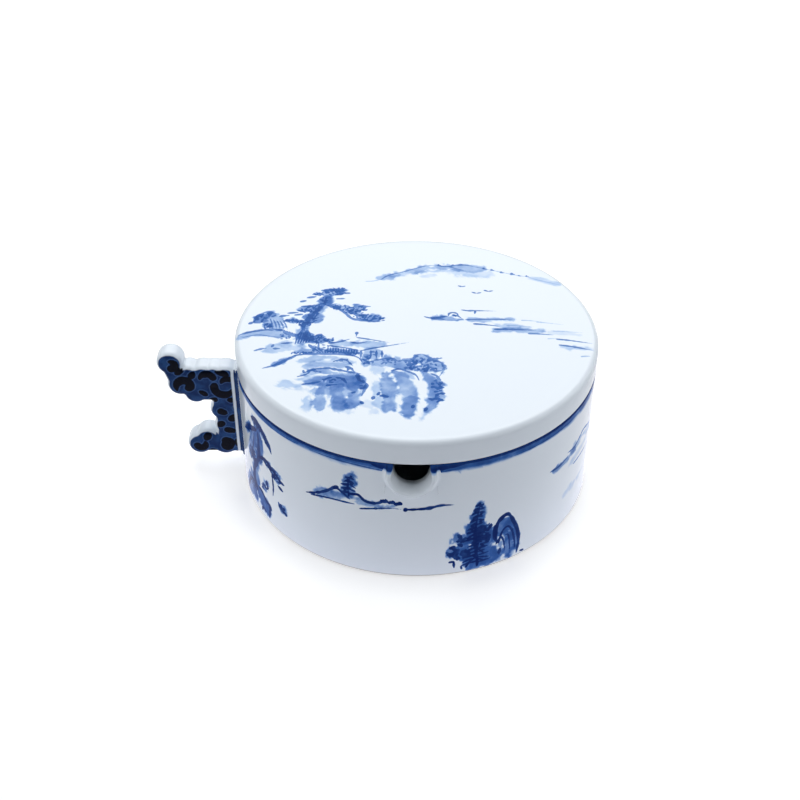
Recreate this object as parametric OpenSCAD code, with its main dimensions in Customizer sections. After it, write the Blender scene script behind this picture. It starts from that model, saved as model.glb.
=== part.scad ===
// Round porcelain trinket box with a lift-off lid, a half-round pouring notch
// with its lip at the front, and a scalloped cloud handle at the left.
// The origin is on the box's axis, on the surface it stands on. The notch faces
// -Y and the handle points to -X.

/* [Body] */
// Outer diameter of the round wall
body_d = 120; // [90:1:150]
// Height of the rim above the table
body_h = 46.5; // [36:0.5:60]
// Thickness of the wall
wall = 4; // [3:0.5:6]
// Thickness of the floor
floor_t = 4.2; // [3:0.1:6]
// Rounding between the floor and the wall, inside
inner_fillet = 5; // [2:0.5:8]
// Rounding of the rim's two edges
rim_round = 0.8; // [0.3:0.1:1.2]

/* [Foot] */
// Width of the flat ring that the box stands on
foot_w = 5; // [3:0.5:8]
// Depth of the recess inside the foot ring
foot_recess = 1.8; // [1:0.1:3]
// Rounding of the wall's lower edge
foot_round = 1.2; // [0.5:0.1:2]

/* [Lid] */
// Height of the lid's edge
lid_h = 8.5; // [6:0.5:12]
// Thickness of the lid's plate
lid_plate = 4.4; // [3:0.1:5.5]
// Rounding of the lid's top edge
lid_round = 2.2; // [1:0.1:3]
// Rounding of the lid's lower edge
lid_under_round = 0.6; // [0.3:0.1:1]
// How far the locating ring reaches down inside the wall
ring_depth = 3; // [2:0.5:6]
// Thickness of the locating ring
ring_t = 3; // [2:0.5:4]
// Gap between the locating ring and the wall, all round
ring_gap = 0.6; // [0.3:0.1:1.5]

/* [Pouring notch and lip] */
// Width of the round-bottomed notch in the rim
notch_w = 11.4; // [8:0.1:16]
// Depth of the notch below the rim
notch_depth = 8.9; // [8:0.1:12]
// Thickness of the lip around the notch
lip_t = 1.6; // [1.4:0.1:3]
// How far the lip stands out from the wall
lip_reach = 3; // [2:0.1:5]
// Rounding of the lip's outer edge
lip_round = 0.7; // [0.3:0.1:0.7]
// Fall of the lip's two upper ends, away from the wall, in degrees
lip_fall = 55; // [10:1:60]

/* [Handle] */
// How far the handle stands out from the wall
handle_reach = 27.4; // [20:0.1:36]
// Thickness of the handle
handle_t = 8; // [6:0.5:10]
// Height of the handle's underside above the table
handle_low = 3.4; // [2:0.1:8]
// How far the top of the handle's arm lies below the rim
handle_drop = 5.4; // [3:0.1:9]
// Turn of the handle from square to the notch, in degrees
handle_turn = 1; // [-5:0.5:5]
// Thickness of the flared pad where the handle meets the wall
root_t = 1.0; // [0.8:0.1:2]
// How far the pad stands out past the handle's faces
root_flare = 0.8; // [0.5:0.1:2]

/* [Hidden] */
$fn = 96;
eps = 0.01;

body_r = body_d / 2;
inner_r = body_r - wall;
floor_z = foot_recess + floor_t;
foot_out_r = body_r - foot_round;
foot_in_r = foot_out_r - foot_w;
ring_out_r = inner_r - ring_gap;
ring_in_r = ring_out_r - ring_t;
notch_r = notch_w / 2;
notch_z = body_h - notch_depth + notch_r;
handle_h = body_h - handle_drop - handle_low;

// The handle's outline as drawn: its own reach and height, and its round lobes,
// each [out from the wall, up from the handle's underside, radius].
drawn_reach = 27.4;
drawn_h = 37.7;
lobes = [
    [22.9, 38.8, 4.5], // upper tip
    [20.1, 30.2, 4.5], // under the tip
    [15.2, 26.7, 4.2], // under the arm
    [12.2, 32.6, 5.1], // along the arm's top
    [4.6, 32.8, 4.9],
    [6.6, 26.8, 4.8], // down the stem
    [6.7, 19.6, 4.3],
    [5.8, 13.2, 4.1],
    [6.9, 4.8, 4.8], // lower arm
    [12.8, 6.7, 4.3],
    [15.7, 4.5, 4.4], // lower tip
    [17.0, 33.9, 3.8], // fills the dip beside the upper tip
    [8.4, 33.2, 4.5], // fills the dip in the arm's top
];
// Pairs of lobes joined by a straight web, so that the outline has no holes.
webs = [[0, 1], [1, 3], [2, 3], [3, 4], [2, 5], [4, 5], [5, 6], [6, 7], [7, 8], [8, 10]];
web_share = 0.8; // a web's width as a share of the thinner lobe's width
root_share = 0.9; // the pad's reach past an end lobe's middle, as a share of its radius

function lobe_at(n) = [
    body_r + lobes[n][0] * handle_reach / drawn_reach,
    handle_low + lobes[n][1] * handle_h / drawn_h
];
function lobe_r(n) = lobes[n][2] * handle_h / drawn_h;

// A rectangle from [0, 0] with four round corners.
module round_rect(w, h, r) {
    translate([r, 0]) square([w - 2 * r, h]);
    translate([0, r]) square([w, h - 2 * r]);
    for (x = [r, w - r], y = [r, h - r]) translate([x, y]) circle(r);
}

// The concave corner that fills the angle between two walls, from [0, 0] up and right.
module fillet(r) {
    difference() {
        square(r);
        translate([r, r]) circle(r);
    }
}

module body_section() {
    // Wall with a rounded rim, standing on the floor plate
    translate([inner_r, foot_recess]) round_rect(wall, body_h - foot_recess, rim_round);
    // Lower edge of the wall, rounded to the foot
    difference() {
        translate([foot_in_r, 0]) square([body_r - foot_in_r, floor_z]);
        translate([body_r - foot_round, 0]) square(foot_round);
    }
    translate([body_r - foot_round, foot_round]) circle(foot_round);
    // Floor plate
    translate([0, foot_recess]) square([inner_r + wall / 2, floor_t]);
    // Rounding between floor and wall
    translate([inner_r, floor_z]) mirror([1, 0]) fillet(inner_fillet);
}

// The notch: an open channel with a round bottom, through the wall along Y.
module notch() {
    translate([0, -inner_r + wall, 0]) rotate([90, 0, 0]) {
        translate([0, notch_z, 0]) cylinder(r = notch_r, h = 3 * wall);
        translate([-notch_r, notch_z, 0]) cube([notch_w, notch_depth, 3 * wall]);
    }
}

module body() {
    color("aliceblue") difference() {
        rotate_extrude() body_section();
        notch();
    }
}

// The lip's wall in section, [out from the notch's middle, out from the wall].
module lip_section() {
    translate([notch_r, 0]) round_rect(lip_t, lip_reach + wall, lip_round);
}

module pouring_lip() {
    color("aliceblue") difference() {
        translate([0, -body_r + wall, notch_z]) {
            // Half ring under the notch
            difference() {
                rotate([90, 0, 0]) rotate_extrude() lip_section();
                translate([-body_r, -body_r, 0]) cube(body_d);
            }
            // Legs up its two sides
            for (side = [0, 1]) mirror([side, 0, 0]) mirror([0, 1, 0])
                linear_extrude(body_h - notch_z) lip_section();
        }
        // The two upper ends fall away from the rim
        translate([-body_r, -body_r, body_h]) rotate([lip_fall, 0, 0]) translate([0, -body_r, 0]) cube(body_d);
        // It meets the wall face to face
        translate([0, 0, -eps]) cylinder(r = body_r, h = body_h + 1);
    }
}

// A straight web between two lobes.
module web(a, b) {
    p = lobe_at(a);
    q = lobe_at(b);
    w = 2 * web_share * min(lobe_r(a), lobe_r(b));
    translate(p) rotate(atan2(q[1] - p[1], q[0] - p[0])) translate([0, -w / 2]) square([norm(q - p), w]);
}

// The handle's outline, [out from the box's axis, up].
module handle_outline() {
    for (n = [0 : len(lobes) - 1]) translate(lobe_at(n)) circle(lobe_r(n));
    for (pair = webs) web(pair[0], pair[1]);
    // The stem behind the lobes, running into the wall
    bottom = lobe_at(8)[1] - web_share * lobe_r(8);
    top = lobe_at(4)[1] + web_share * lobe_r(4);
    translate([inner_r, bottom]) square([lobe_at(7)[0] - inner_r, top - bottom]);
}

// The flared pad that the handle is luted to the wall with.
module root_pad() {
    w = handle_t + 2 * root_flare;
    bottom = lobe_at(8)[1] - root_share * lobe_r(8);
    top = lobe_at(4)[1] + root_share * lobe_r(4);
    intersection() {
        cylinder(r = body_r + root_t, h = body_h);
        translate([inner_r, 0, bottom]) rotate([90, 0, 90]) linear_extrude(2 * wall)
            translate([-w / 2, 0]) round_rect(w, top - bottom, w / 3);
    }
}

module handle() {
    color("midnightblue") difference() {
        rotate([0, 0, 180 + handle_turn]) {
            translate([0, handle_t / 2, 0]) rotate([90, 0, 0]) linear_extrude(handle_t) handle_outline();
            root_pad();
        }
        // It meets the wall face to face
        translate([0, 0, -eps]) cylinder(r = body_r, h = body_h + 1);
    }
}

module lid() {
    color("aliceblue") translate([0, 0, body_h]) rotate_extrude() {
        // Edge ring, which rests on the rim
        translate([ring_in_r, lid_under_round])
            square([body_r - lid_round - ring_in_r, lid_h - lid_under_round]);
        translate([body_r - lid_round - eps, lid_under_round])
            square([lid_round + eps, lid_h - lid_round - lid_under_round]);
        translate([ring_in_r, 0]) square([body_r - lid_under_round - ring_in_r, lid_under_round + eps]);
        translate([body_r - lid_under_round, lid_under_round]) circle(lid_under_round);
        translate([body_r - lid_round, lid_h - lid_round]) circle(lid_round);
        // Plate
        translate([0, lid_h - lid_plate]) square([ring_in_r + eps, lid_plate]);
    }
}

module locating_ring() {
    color("aliceblue") translate([0, 0, body_h - ring_depth]) rotate_extrude() {
        translate([ring_in_r, rim_round]) square([ring_t, ring_depth - rim_round]);
        translate([ring_in_r + rim_round, 0]) square([ring_t - 2 * rim_round, rim_round + eps]);
        for (x = [ring_in_r + rim_round, ring_out_r - rim_round]) translate([x, rim_round]) circle(rim_round);
    }
}

body();
pouring_lip();
handle();
lid();
locating_ring();
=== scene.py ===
"""A round porcelain box with a lift-off lid, a pouring lip and a cloud handle, painted in cobalt.

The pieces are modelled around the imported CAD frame, in metres, with each piece's place in its mesh.
The painting is brushed stroke by stroke on grids in millimetres and carried to the clay as attributes.
"""

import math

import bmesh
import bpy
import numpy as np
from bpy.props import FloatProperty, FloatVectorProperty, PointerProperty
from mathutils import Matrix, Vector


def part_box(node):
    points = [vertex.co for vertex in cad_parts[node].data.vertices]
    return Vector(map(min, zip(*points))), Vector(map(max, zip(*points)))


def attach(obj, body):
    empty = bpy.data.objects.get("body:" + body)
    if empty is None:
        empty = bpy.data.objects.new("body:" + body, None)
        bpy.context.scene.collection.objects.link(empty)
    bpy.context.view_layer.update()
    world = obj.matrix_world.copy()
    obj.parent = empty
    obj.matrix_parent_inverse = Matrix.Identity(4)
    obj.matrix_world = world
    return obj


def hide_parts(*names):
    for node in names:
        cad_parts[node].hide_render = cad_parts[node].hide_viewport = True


bl_info = {
    "name": "Painted porcelain box",
    "version": (1, 0, 0),
    "blender": (4, 5, 0),
    "location": "3D View > Sidebar > Porcelain box",
    "description": "Builds a painted porcelain box with its lid, pouring lip and cloud handle",
    "category": "Object",
}

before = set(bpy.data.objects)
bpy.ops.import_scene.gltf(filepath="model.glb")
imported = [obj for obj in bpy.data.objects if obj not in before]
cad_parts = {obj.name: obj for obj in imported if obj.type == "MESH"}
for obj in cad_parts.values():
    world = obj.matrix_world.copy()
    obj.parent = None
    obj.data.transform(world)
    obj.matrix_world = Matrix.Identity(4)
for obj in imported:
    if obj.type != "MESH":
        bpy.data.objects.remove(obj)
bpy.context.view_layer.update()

MM = 0.001

# Driving sizes, read from the frame, in millimetres.
BODY_HIGH, LID_HIGH, RING_HIGH, LIP_HIGH = (
    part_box(node)[1] / MM for node in ("body", "lid", "locating_ring", "pouring_lip")
)
RING_LOW, LIP_LOW, HANDLE_LOW = (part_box(node)[0] / MM for node in ("locating_ring", "pouring_lip", "handle"))

RADIUS = BODY_HIGH.x
RIM = BODY_HIGH.z
LID_TOP = LID_HIGH.z
RING_OUT = RING_HIGH.x
RING_FOOT = RING_LOW.z
LIP_REACH = -LIP_LOW.y - RADIUS
LIP_HALF = LIP_HIGH.x
HANDLE_FOOT = HANDLE_LOW.z

# Sizes that the frame's boxes don't show, as in the frame's own parts.
LIP_FALL = math.radians(55.0)
LID_UNDER_ROUND = 0.6
HANDLE_TURN = math.radians(1.0)
HANDLE_THICK = 8.0

# Seams closer than this are closed.
SEAM = 0.004 * MM

# The painting was laid out square to the handle, and the handle stands one degree off square to the notch.
ART_TURN = math.radians(1.0)
ART_STEP = 0.15
TAU = 2 * math.pi


# ---------------------------------------------------------------- sizes and colours


def length(name, description, millimetres):
    """A length for the panel, given in millimetres."""
    return FloatProperty(name=name, description=description, default=millimetres * MM, unit="LENGTH")


def tone(name, description, colour):
    """A colour for the panel."""
    return FloatVectorProperty(name=name, description=description, subtype="COLOR", default=colour, max=1)


class PorcelainSizes(bpy.types.PropertyGroup):
    """Sizes of the clay, in metres."""

    wall: length("Wall", "Thickness of the wall", 4.0)
    floor: length("Floor", "Height of the inside floor", 6.0)
    floor_fillet: length("Floor fillet", "Rounding between the floor and the wall", 5.0)
    rim_round: length("Rim rounding", "Rounding of the rim's edges", 0.8)
    foot_width: length("Foot width", "Width of the ring that the box stands on", 5.0)
    foot_recess: length("Foot recess", "Depth of the recess inside the foot", 1.8)
    foot_round: length("Foot rounding", "Rounding of the wall's lower edge", 1.2)
    lid_round: length("Lid rounding", "Rounding of the lid's top edge", 2.2)
    lid_plate: length("Lid plate", "Thickness of the lid", 4.4)
    ring_wall: length("Locating ring", "Thickness of the locating ring", 3.0)
    notch_half: length("Notch half width", "Half the width of the pouring notch", 5.7)
    notch_depth: length("Notch depth", "Depth of the notch below the rim", 8.9)
    handle_round: length("Handle rounding", "Rounding of the handle's edges", 2.2)


class PorcelainColours(bpy.types.PropertyGroup):
    """Colours of the glaze, the cobalt and the bare clay."""

    glaze: tone("Glaze", "Clear glaze over white clay", (0.81, 0.875, 0.93))
    clay: tone("Clay", "Bare fired clay", (0.78, 0.75, 0.70))
    pale: tone("Pale wash", "Thinnest cobalt", (0.445, 0.60, 0.83))
    middle: tone("Middle wash", "Thin cobalt", (0.17, 0.31, 0.63))
    deep: tone("Deep cobalt", "Full brush of cobalt", (0.042, 0.135, 0.43))
    black: tone("Pooled cobalt", "Cobalt where it pools", (0.003, 0.02, 0.14))


def sizes():
    """The sizes in use, in millimetres."""
    group = bpy.context.scene.porcelain_sizes
    return {name: getattr(group, name) / MM for name in PorcelainSizes.__annotations__}


def colours():
    """The colours in use, each with its alpha."""
    group = bpy.context.scene.porcelain_colours
    return {name: (*getattr(group, name), 1.0) for name in PorcelainColours.__annotations__}


# ---------------------------------------------------------------- the brush


def smooth_path(points, step):
    """Places every step along the smooth curve through the given points."""
    given = np.asarray(points, float)
    if len(given) == 2:
        dense = given
    else:
        ends = np.vstack([2 * given[0] - given[1], given, 2 * given[-1] - given[-2]])
        t = np.linspace(0, 1, 16, endpoint=False)[:, None]
        spans = []
        for a, b, c, d in zip(ends[:-3], ends[1:-2], ends[2:-1], ends[3:]):
            bend = (2 * a - 5 * b + 4 * c - d) * t**2
            spans.append(0.5 * (2 * b + (c - a) * t + bend + (3 * b - a - 3 * c + d) * t**3))
        dense = np.vstack(spans + [given[-1:]])
    run = np.concatenate([[0.0], np.cumsum(np.hypot(*np.diff(dense, axis=0).T))])
    count = max(3, int(run[-1] / step) + 1)
    at = np.linspace(0, run[-1], count)
    return np.stack([np.interp(at, run, dense[:, k]) for k in (0, 1)], 1)


def mottle(shape, cell, rng, octaves=3):
    """Smooth noise from 0 to 1 on a grid of that shape, with blobs about cell steps wide."""
    total = np.zeros(shape)
    weight = 0.0
    for octave in range(octaves):
        size = max(2.0, cell / 2**octave)
        rows, cols = int(shape[0] / size) + 3, int(shape[1] / size) + 3
        coarse = rng.random((rows, cols))
        y, x = np.arange(shape[0]) / size, np.arange(shape[1]) / size
        iy, ix = y.astype(int), x.astype(int)
        fy, fx = (y - iy)[:, None], (x - ix)[None, :]
        fy, fx = fy * fy * (3 - 2 * fy), fx * fx * (3 - 2 * fx)
        near = coarse[iy][:, ix] * (1 - fx) + coarse[iy][:, ix + 1] * fx
        far = coarse[iy + 1][:, ix] * (1 - fx) + coarse[iy + 1][:, ix + 1] * fx
        total += (near * (1 - fy) + far * fy) / 2**octave
        weight += 1 / 2**octave
    return total / weight


class Canvas:
    """A surface laid flat in millimetres, with a layer of brush lines, their load and a layer of washes.

    line is 0.5 at a stroke's edge and rises inwards over soft millimetres, so the shader can cut a clean
    edge from it. load is how much cobalt the brush held there, and wash is thin cobalt laid beneath.
    """

    def __init__(self, low, high, seed, soft=0.32, brush=1.0):
        self.brush = brush
        self.low = np.array(low, float)
        self.shape = tuple(int((h - l) / ART_STEP) + 2 for l, h in zip(low[::-1], high[::-1]))
        self.line = np.zeros(self.shape, np.float32)
        self.load = np.zeros(self.shape, np.float32)
        self.wash = np.zeros(self.shape, np.float32)
        self.soft = soft
        self.rng = np.random.default_rng(seed)
        self.grain = mottle(self.shape, 14, self.rng)
        self.streaks = mottle(self.shape, 40, self.rng, 4)
        self.blotches = mottle(self.shape, 20, self.rng, 4)

    def _window(self, path, margin):
        """The part of the grid around a path: its slices, and its places in millimetres."""
        lo = np.maximum(((path.min(0) - margin - self.low) / ART_STEP).astype(int), 0)
        hi = ((path.max(0) + margin - self.low) / ART_STEP).astype(int) + 2
        hi = np.minimum(hi, (self.shape[1], self.shape[0]))
        if (hi <= lo).any():
            return None
        xs = self.low[0] + np.arange(lo[0], hi[0]) * ART_STEP
        ys = self.low[1] + np.arange(lo[1], hi[1]) * ART_STEP
        return (slice(lo[1], hi[1]), slice(lo[0], hi[0])), xs[None, :], ys[:, None]

    def stroke(self, points, width, load=0.9, lead=0.2, tail=0.4, wobble=0.18):
        """One brush line: it swells over its lead, thins over its tail and wavers a little in width."""
        width = width * self.brush
        path = smooth_path(points, max(0.14, 0.25 * width))
        t = np.linspace(0, 1, len(path))
        half = 0.5 * width * np.minimum(1, (t + 0.02) / lead) ** 0.5 * np.minimum(1, (1.02 - t) / tail) ** 0.6
        waver = np.interp(t, np.linspace(0, 1, len(path) // 4 + 2), self.rng.normal(0, 1, len(path) // 4 + 2))
        half = np.maximum(half * (1 + wobble * waver), 0.1)
        loads = load * (1 - 0.22 * t)
        for start in range(0, len(path) - 1, 10):
            part = slice(start, start + 11)
            window = self._window(path[part], half[part].max() + 0.7)
            if window is None:
                continue
            at, x, y = window
            px, py = path[part, 0][:, None, None], path[part, 1][:, None, None]
            inside = half[part][:, None, None] - np.hypot(x - px, y - py)
            cover = 0.5 + inside / self.soft
            best = cover.max(0)
            held = (loads[part][:, None, None] * np.clip(1 + inside / 0.4, 0, 1)).max(0)
            self.line[at] = np.maximum(self.line[at], np.clip(best, 0, 1))
            self.load[at] = np.maximum(self.load[at], held)

    def sweep(self, points, width, load=0.4, soft=0.9, streak=0.35, rough=1.0):
        """One broad wash stroke: ragged, streaked and blotchy, and drawn in at its two ends."""
        path = smooth_path(points, 0.4)
        t = np.linspace(0, 1, len(path))
        half = 0.56 * width * (1 + 0.2 * np.sin(6 * t + 3 * width))
        half *= np.minimum(1, (np.minimum(t, 1 - t) + 0.16) / 0.3) ** 0.5
        window = self._window(path, 0.6 * width + 2.5)
        if window is None:
            return
        at, x, y = window
        best = np.full((y.shape[0], x.shape[1]), -9.0)
        for (px, py), reach in zip(path, half):
            np.maximum(best, reach - np.hypot(x - px, y - py), out=best)
        ragged = (self.grain[at] - 0.48) * min(3.2, 1.4 * width)
        ragged += (self.streaks[at] - 0.5) * min(2.0, 0.8 * width)
        ragged *= rough
        cover = np.clip(0.5 + (best + ragged) / (0.6 * soft), 0, 1)
        pooled = 1 + 0.3 * np.exp(-(((best + ragged) / (0.25 * soft + 0.15)) ** 2))
        blotch = 0.55 + 0.9 * self.blotches[at]
        amount = load * cover * pooled * blotch * (1 - streak + 2 * streak * (self.streaks[at] - 0.2))
        self.wash[at] = 1 - (1 - self.wash[at]) * (1 - np.clip(amount, 0, 0.95))

    def dab(self, x, y, length, width, angle=0.0, load=0.95):
        """A short press of the brush, as for a leaf or a stone."""
        dx, dy = 0.5 * length * math.cos(angle), 0.5 * length * math.sin(angle)
        self.stroke([(x - dx, y - dy), (x + dx, y + dy)], width, load, lead=0.35, tail=0.35)

    def needles(self, x, y, across, up, angle=0.0, load=0.92, width=0.5, wash=0.62):
        """A pad of foliage: a pale wash with short, dark, fanned strokes over it."""
        c, s = math.cos(angle), math.sin(angle)
        reach = max(0.2, 0.5 * (across - up))
        self.sweep([(x - reach * c, y - reach * s), (x + reach * c, y + reach * s)], 0.9 * up, wash, 0.7)
        for _ in range(int(2.4 * across * up**0.5) + 4):
            u, v = self.rng.uniform(-0.5, 0.5, 2)
            v *= math.sqrt(max(0.05, 1 - (2 * u) ** 2))
            px, py = x + u * across * c - v * up * s, y + u * across * s + v * up * c
            lean = angle + math.pi / 2 - 1.9 * u + self.rng.normal(0, 0.25)
            self.dab(px, py, self.rng.uniform(0.7, 1.5), width, lean, load * self.rng.uniform(0.7, 1))

    def blots(self, x, y, across, up, count, size=0.9, load=0.85):
        """A scatter of dots, as for moss on a stone."""
        for _ in range(count):
            u, v = self.rng.uniform(-0.5, 0.5, 2)
            angle = self.rng.uniform(0, math.pi)
            length = size * self.rng.uniform(0.7, 1.5)
            self.dab(x + u * across, y + v * up, length, size * 0.75, angle, load * self.rng.uniform(0.6, 1))

    def sample(self, layer, x, y):
        """A layer's value at each place, in millimetres, and 0 outside the grid."""
        u = (x - self.low[0]) / ART_STEP
        v = (y - self.low[1]) / ART_STEP
        inside = (u >= 0) & (v >= 0) & (u < self.shape[1] - 1) & (v < self.shape[0] - 1)
        iu, iv = np.where(inside, u, 0).astype(int), np.where(inside, v, 0).astype(int)
        fu, fv = np.where(inside, u - iu, 0), np.where(inside, v - iv, 0)
        low = layer[iv, iu] * (1 - fu) + layer[iv, iu + 1] * fu
        high = layer[iv + 1, iu] * (1 - fu) + layer[iv + 1, iu + 1] * fu
        return np.where(inside, low * (1 - fv) + high * fv, 0.0)


class Placed:
    """A canvas's brush, moved to a place and scaled, for a motif that is painted more than once."""

    def __init__(self, canvas, x, z, size):
        self.canvas = canvas
        self.x = x
        self.z = z
        self.size = size

    def spot(self, x, z):
        """A place of the motif, on the canvas."""
        return self.x + self.size * x, self.z + self.size * z

    def stroke(self, points, width, *rest):
        self.canvas.stroke([self.spot(*point) for point in points], width * self.size, *rest)

    def sweep(self, points, width, *rest):
        self.canvas.sweep([self.spot(*point) for point in points], width * self.size, *rest)

    def dab(self, x, z, length, width, *rest):
        self.canvas.dab(*self.spot(x, z), length * self.size, width * self.size, *rest)

    def needles(self, x, z, across, up, *rest):
        self.canvas.needles(*self.spot(x, z), across * self.size, up * self.size, *rest)

    def blots(self, x, z, across, up, *rest):
        self.canvas.blots(*self.spot(x, z), across * self.size, up * self.size, *rest)


def spread(field, cells):
    """Each place takes the highest value found within that many cells of it."""
    for _ in range(cells):
        for axis in (0, 1):
            shifted = [np.roll(field, shift, axis) for shift in (-1, 1)]
            field = np.maximum.reduce([field, *shifted])
    return field


# ---------------------------------------------------------------- the painting


def paint_water(c, x, y, length, rise=0.0, width=0.9, load=0.75):
    """A line of still water, dark where the brush landed and drawn out thin."""
    points = [(x, y), (x + 0.35 * length, y + 0.3 * rise + 0.1), (x + length, y + rise)]
    c.stroke(points, width, load, lead=0.08, tail=0.75)


def paint_birds(c, x, y):
    """Three far birds."""
    for dx, dy, size in ((0.0, 3.0, 1.4), (5.0, -1.2, 1.8), (9.2, 0.1, 1.7)):
        c.dab(x + dx - 0.5 * size, y + dy + 0.15, 1.1 * size, 0.6, -0.5, 0.95)
        c.dab(x + dx + 0.45 * size, y + dy + 0.05, 1.0 * size, 0.55, 0.35, 0.85)


def paint_tiered_tree(c, x, foot, top, half, load=1.0):
    """A tall tree: a dark trunk in a deep blue crown, with short boughs that hang to the left."""
    rise = top - foot
    crown = [(x - 0.1 * half, foot + 0.1 * rise), (x, foot + 0.5 * rise), (x + 0.35 * half, top - 0.5)]
    c.sweep(crown, 1.05 * half, 0.85, 0.8, 0.35, 0.6)
    c.sweep([(x - 0.1 * half, foot + 0.14 * rise), (x, foot + 0.45 * rise)], 1.4 * half, 0.75, 0.8, 0.35, 0.6)
    trunk = [(x + 0.2, foot), (x, foot + 0.5 * rise), (x + 0.3 * half, top)]
    c.stroke(trunk, 0.08 * half + 0.3, load, 0.1, 0.3)
    rows = max(4, int(rise / 1.6))
    for row in range(rows):
        share = (row + 0.5) / rows
        z = foot + (0.1 + 0.9 * share) * rise
        middle = x + 0.3 * half * share**2
        reach = half * (1 - 0.6 * share**1.5) * c.rng.uniform(0.7, 1.15)
        dip = c.rng.uniform(0.2, 1.2)
        bough = [(middle, z), (middle - 0.55 * reach, z - 0.2), (middle - reach, z - dip)]
        c.stroke(bough, 0.8, load, 0.2, 0.3)
        c.dab(middle + 0.5 * reach, z - 0.3, 0.9 * reach, 0.7, c.rng.uniform(-0.6, 0.3), 0.9 * load)
        tuft = middle + c.rng.uniform(-0.6, 0.6) * reach
        c.dab(tuft, z + 0.5, 0.5 * reach, 0.6, c.rng.uniform(-0.7, 0.3), load)


def paint_mountains(c):
    """A far range, drawn as one worn line over pale washes, with a few far trees along it."""
    for stroke in (
        ([(-18.5, 29.8), (-15, 30.2), (-12, 31.6)], 0.5, 0.28, 0.4, 0.3),
        ([(-12.5, 31.2), (-10, 34), (-5, 36.4), (-1, 38.6), (3, 40.6), (8, 41.2)], 0.65, 0.55, 0.1, 0.3),
        ([(7, 41), (11, 40.3), (13, 41), (16, 41.6), (20, 40.8)], 0.8, 0.72, 0.2, 0.3),
        ([(19, 40.9), (24, 39), (30, 36.7), (35, 34.8), (40, 33.4)], 0.4, 0.36, 0.2, 0.2),
        ([(39, 33.6), (44, 31), (50.5, 28.3)], 0.7, 0.2, 0.3, 0.3),
        ([(11.5, 40.2), (14, 39), (17, 37.6)], 0.6, 0.5, 0.1, 0.6),
    ):
        c.stroke(*stroke)
    for wash in (
        ([(-12, 32), (-7, 34.6), (-2, 36.8), (4, 39), (9, 39.4)], 2.8, 0.34, 1.2),
        ([(-9, 33.4), (-3, 35)], 1.5, 0.28, 1.2),
        ([(8, 39.4), (13, 39.6), (18, 39.2), (23, 38)], 3.0, 0.36, 1.4),
        ([(0, 36.4), (9, 37.6), (14, 37.6)], 1.6, 0.22, 1.2),
        ([(12, 36.6), (19, 35.4), (26, 36)], 3.2, 0.17, 1.6), ([(2.5, 33.5), (6, 34.6)], 1.6, 0.13, 1.4),
        ([(14, 34), (21, 34)], 1.4, 0.12, 1.4), ([(40, 33), (50, 28.8)], 1.8, 0.16, 1.4),
    ):
        c.sweep(*wash)
    for x, y, size in (
        (7.7, 41.5, 0.8), (12.8, 41.2, 1.0), (23.7, 39.2, 0.9), (26.5, 38.3, 1.0), (29.8, 36.7, 0.9),
        (33.5, 35.7, 1.3), (36, 34.6, 0.7), (38.6, 34.3, 0.9),
    ):
        c.dab(x, y, 1.1 * size, 0.75 * size, 1.4, 0.8)
        c.dab(x + 0.5, y - 0.4, 0.9 * size, 0.5 * size, 0.3, 0.65)


def paint_bay(c):
    """An islet, a boat and the bay's water lines, which fade towards the edge."""
    c.stroke([(2.5, 7.7), (5, 6.8), (8, 7.4), (11, 8.3)], 0.9, 0.85, 0.2, 0.3)
    c.stroke([(4.5, 6.9), (8, 6.5), (10, 5.6), (15, 5.3)], 0.6, 0.55, 0.3, 0.4)
    c.sweep([(6, 7), (11, 6.6), (15, 6)], 2.0, 0.6, 0.8)
    c.stroke([(10.8, 8.2), (11, 9.6), (12.3, 10.3), (13.7, 9.6), (14, 8.2), (15.4, 6.5)], 0.7, 0.9, 0.2, 0.3)
    c.stroke([(12, 8.9), (13, 8.4), (13.3, 7.6)], 0.7, 0.85, 0.3, 0.4)
    c.sweep([(12.2, 8.6), (12.9, 8.6)], 1.8, 0.55, 0.6)
    c.stroke([(15.2, 12), (17.5, 11.5), (20, 11.6), (27, 11.4)], 0.7, 0.8, 0.1, 0.8)
    c.stroke([(19.9, 11.6), (19.6, 9.4)], 0.65, 0.9, 0.2, 0.5)
    paint_birds(c, 15.7, 24.0)
    for x, y, length, rise, width, load in (
        (16.5, 6, 17, 0.5, 0.9, 0.62), (19, 3.5, 9, -1.4, 0.8, 0.85), (26, 0.4, 14, -0.4, 1.1, 0.72),
        (37, -2, 8, -0.7, 0.8, 0.68), (46, -5.2, 11.6, -2.4, 0.75, 0.78),
        (46.5, -8.5, 11.5, -3.2, 0.85, 0.75),
        (53, -15, 3, 0.3, 0.7, 0.35), (35, 5.9, 7, -0.8, 0.45, 0.3), (40, 4.8, 9, -1.4, 0.4, 0.26),
        (43, -5, 4, 0.1, 0.4, 0.25), (45, -0.4, 10, -0.9, 0.5, 0.22), (30, 2.6, 9, -0.6, 0.6, 0.3),
    ):
        paint_water(c, x, y, length, rise, width, load)
    for wash in (
        ([(18, 5.8), (25, 6.4), (32, 6.3)], 1.9, 0.36, 1.0),
        ([(26, 0.1), (33, 0.2), (42, -0.6)], 1.8, 0.42, 1.1), ([(27, 2.6), (38, 1.6)], 1.8, 0.2, 1.2),
        ([(42, -1), (54, -2.4)], 1.6, 0.12, 1.2), ([(47, -9.4), (57, -11)], 1.6, 0.2, 1.0),
    ):
        c.sweep(*wash)


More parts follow.
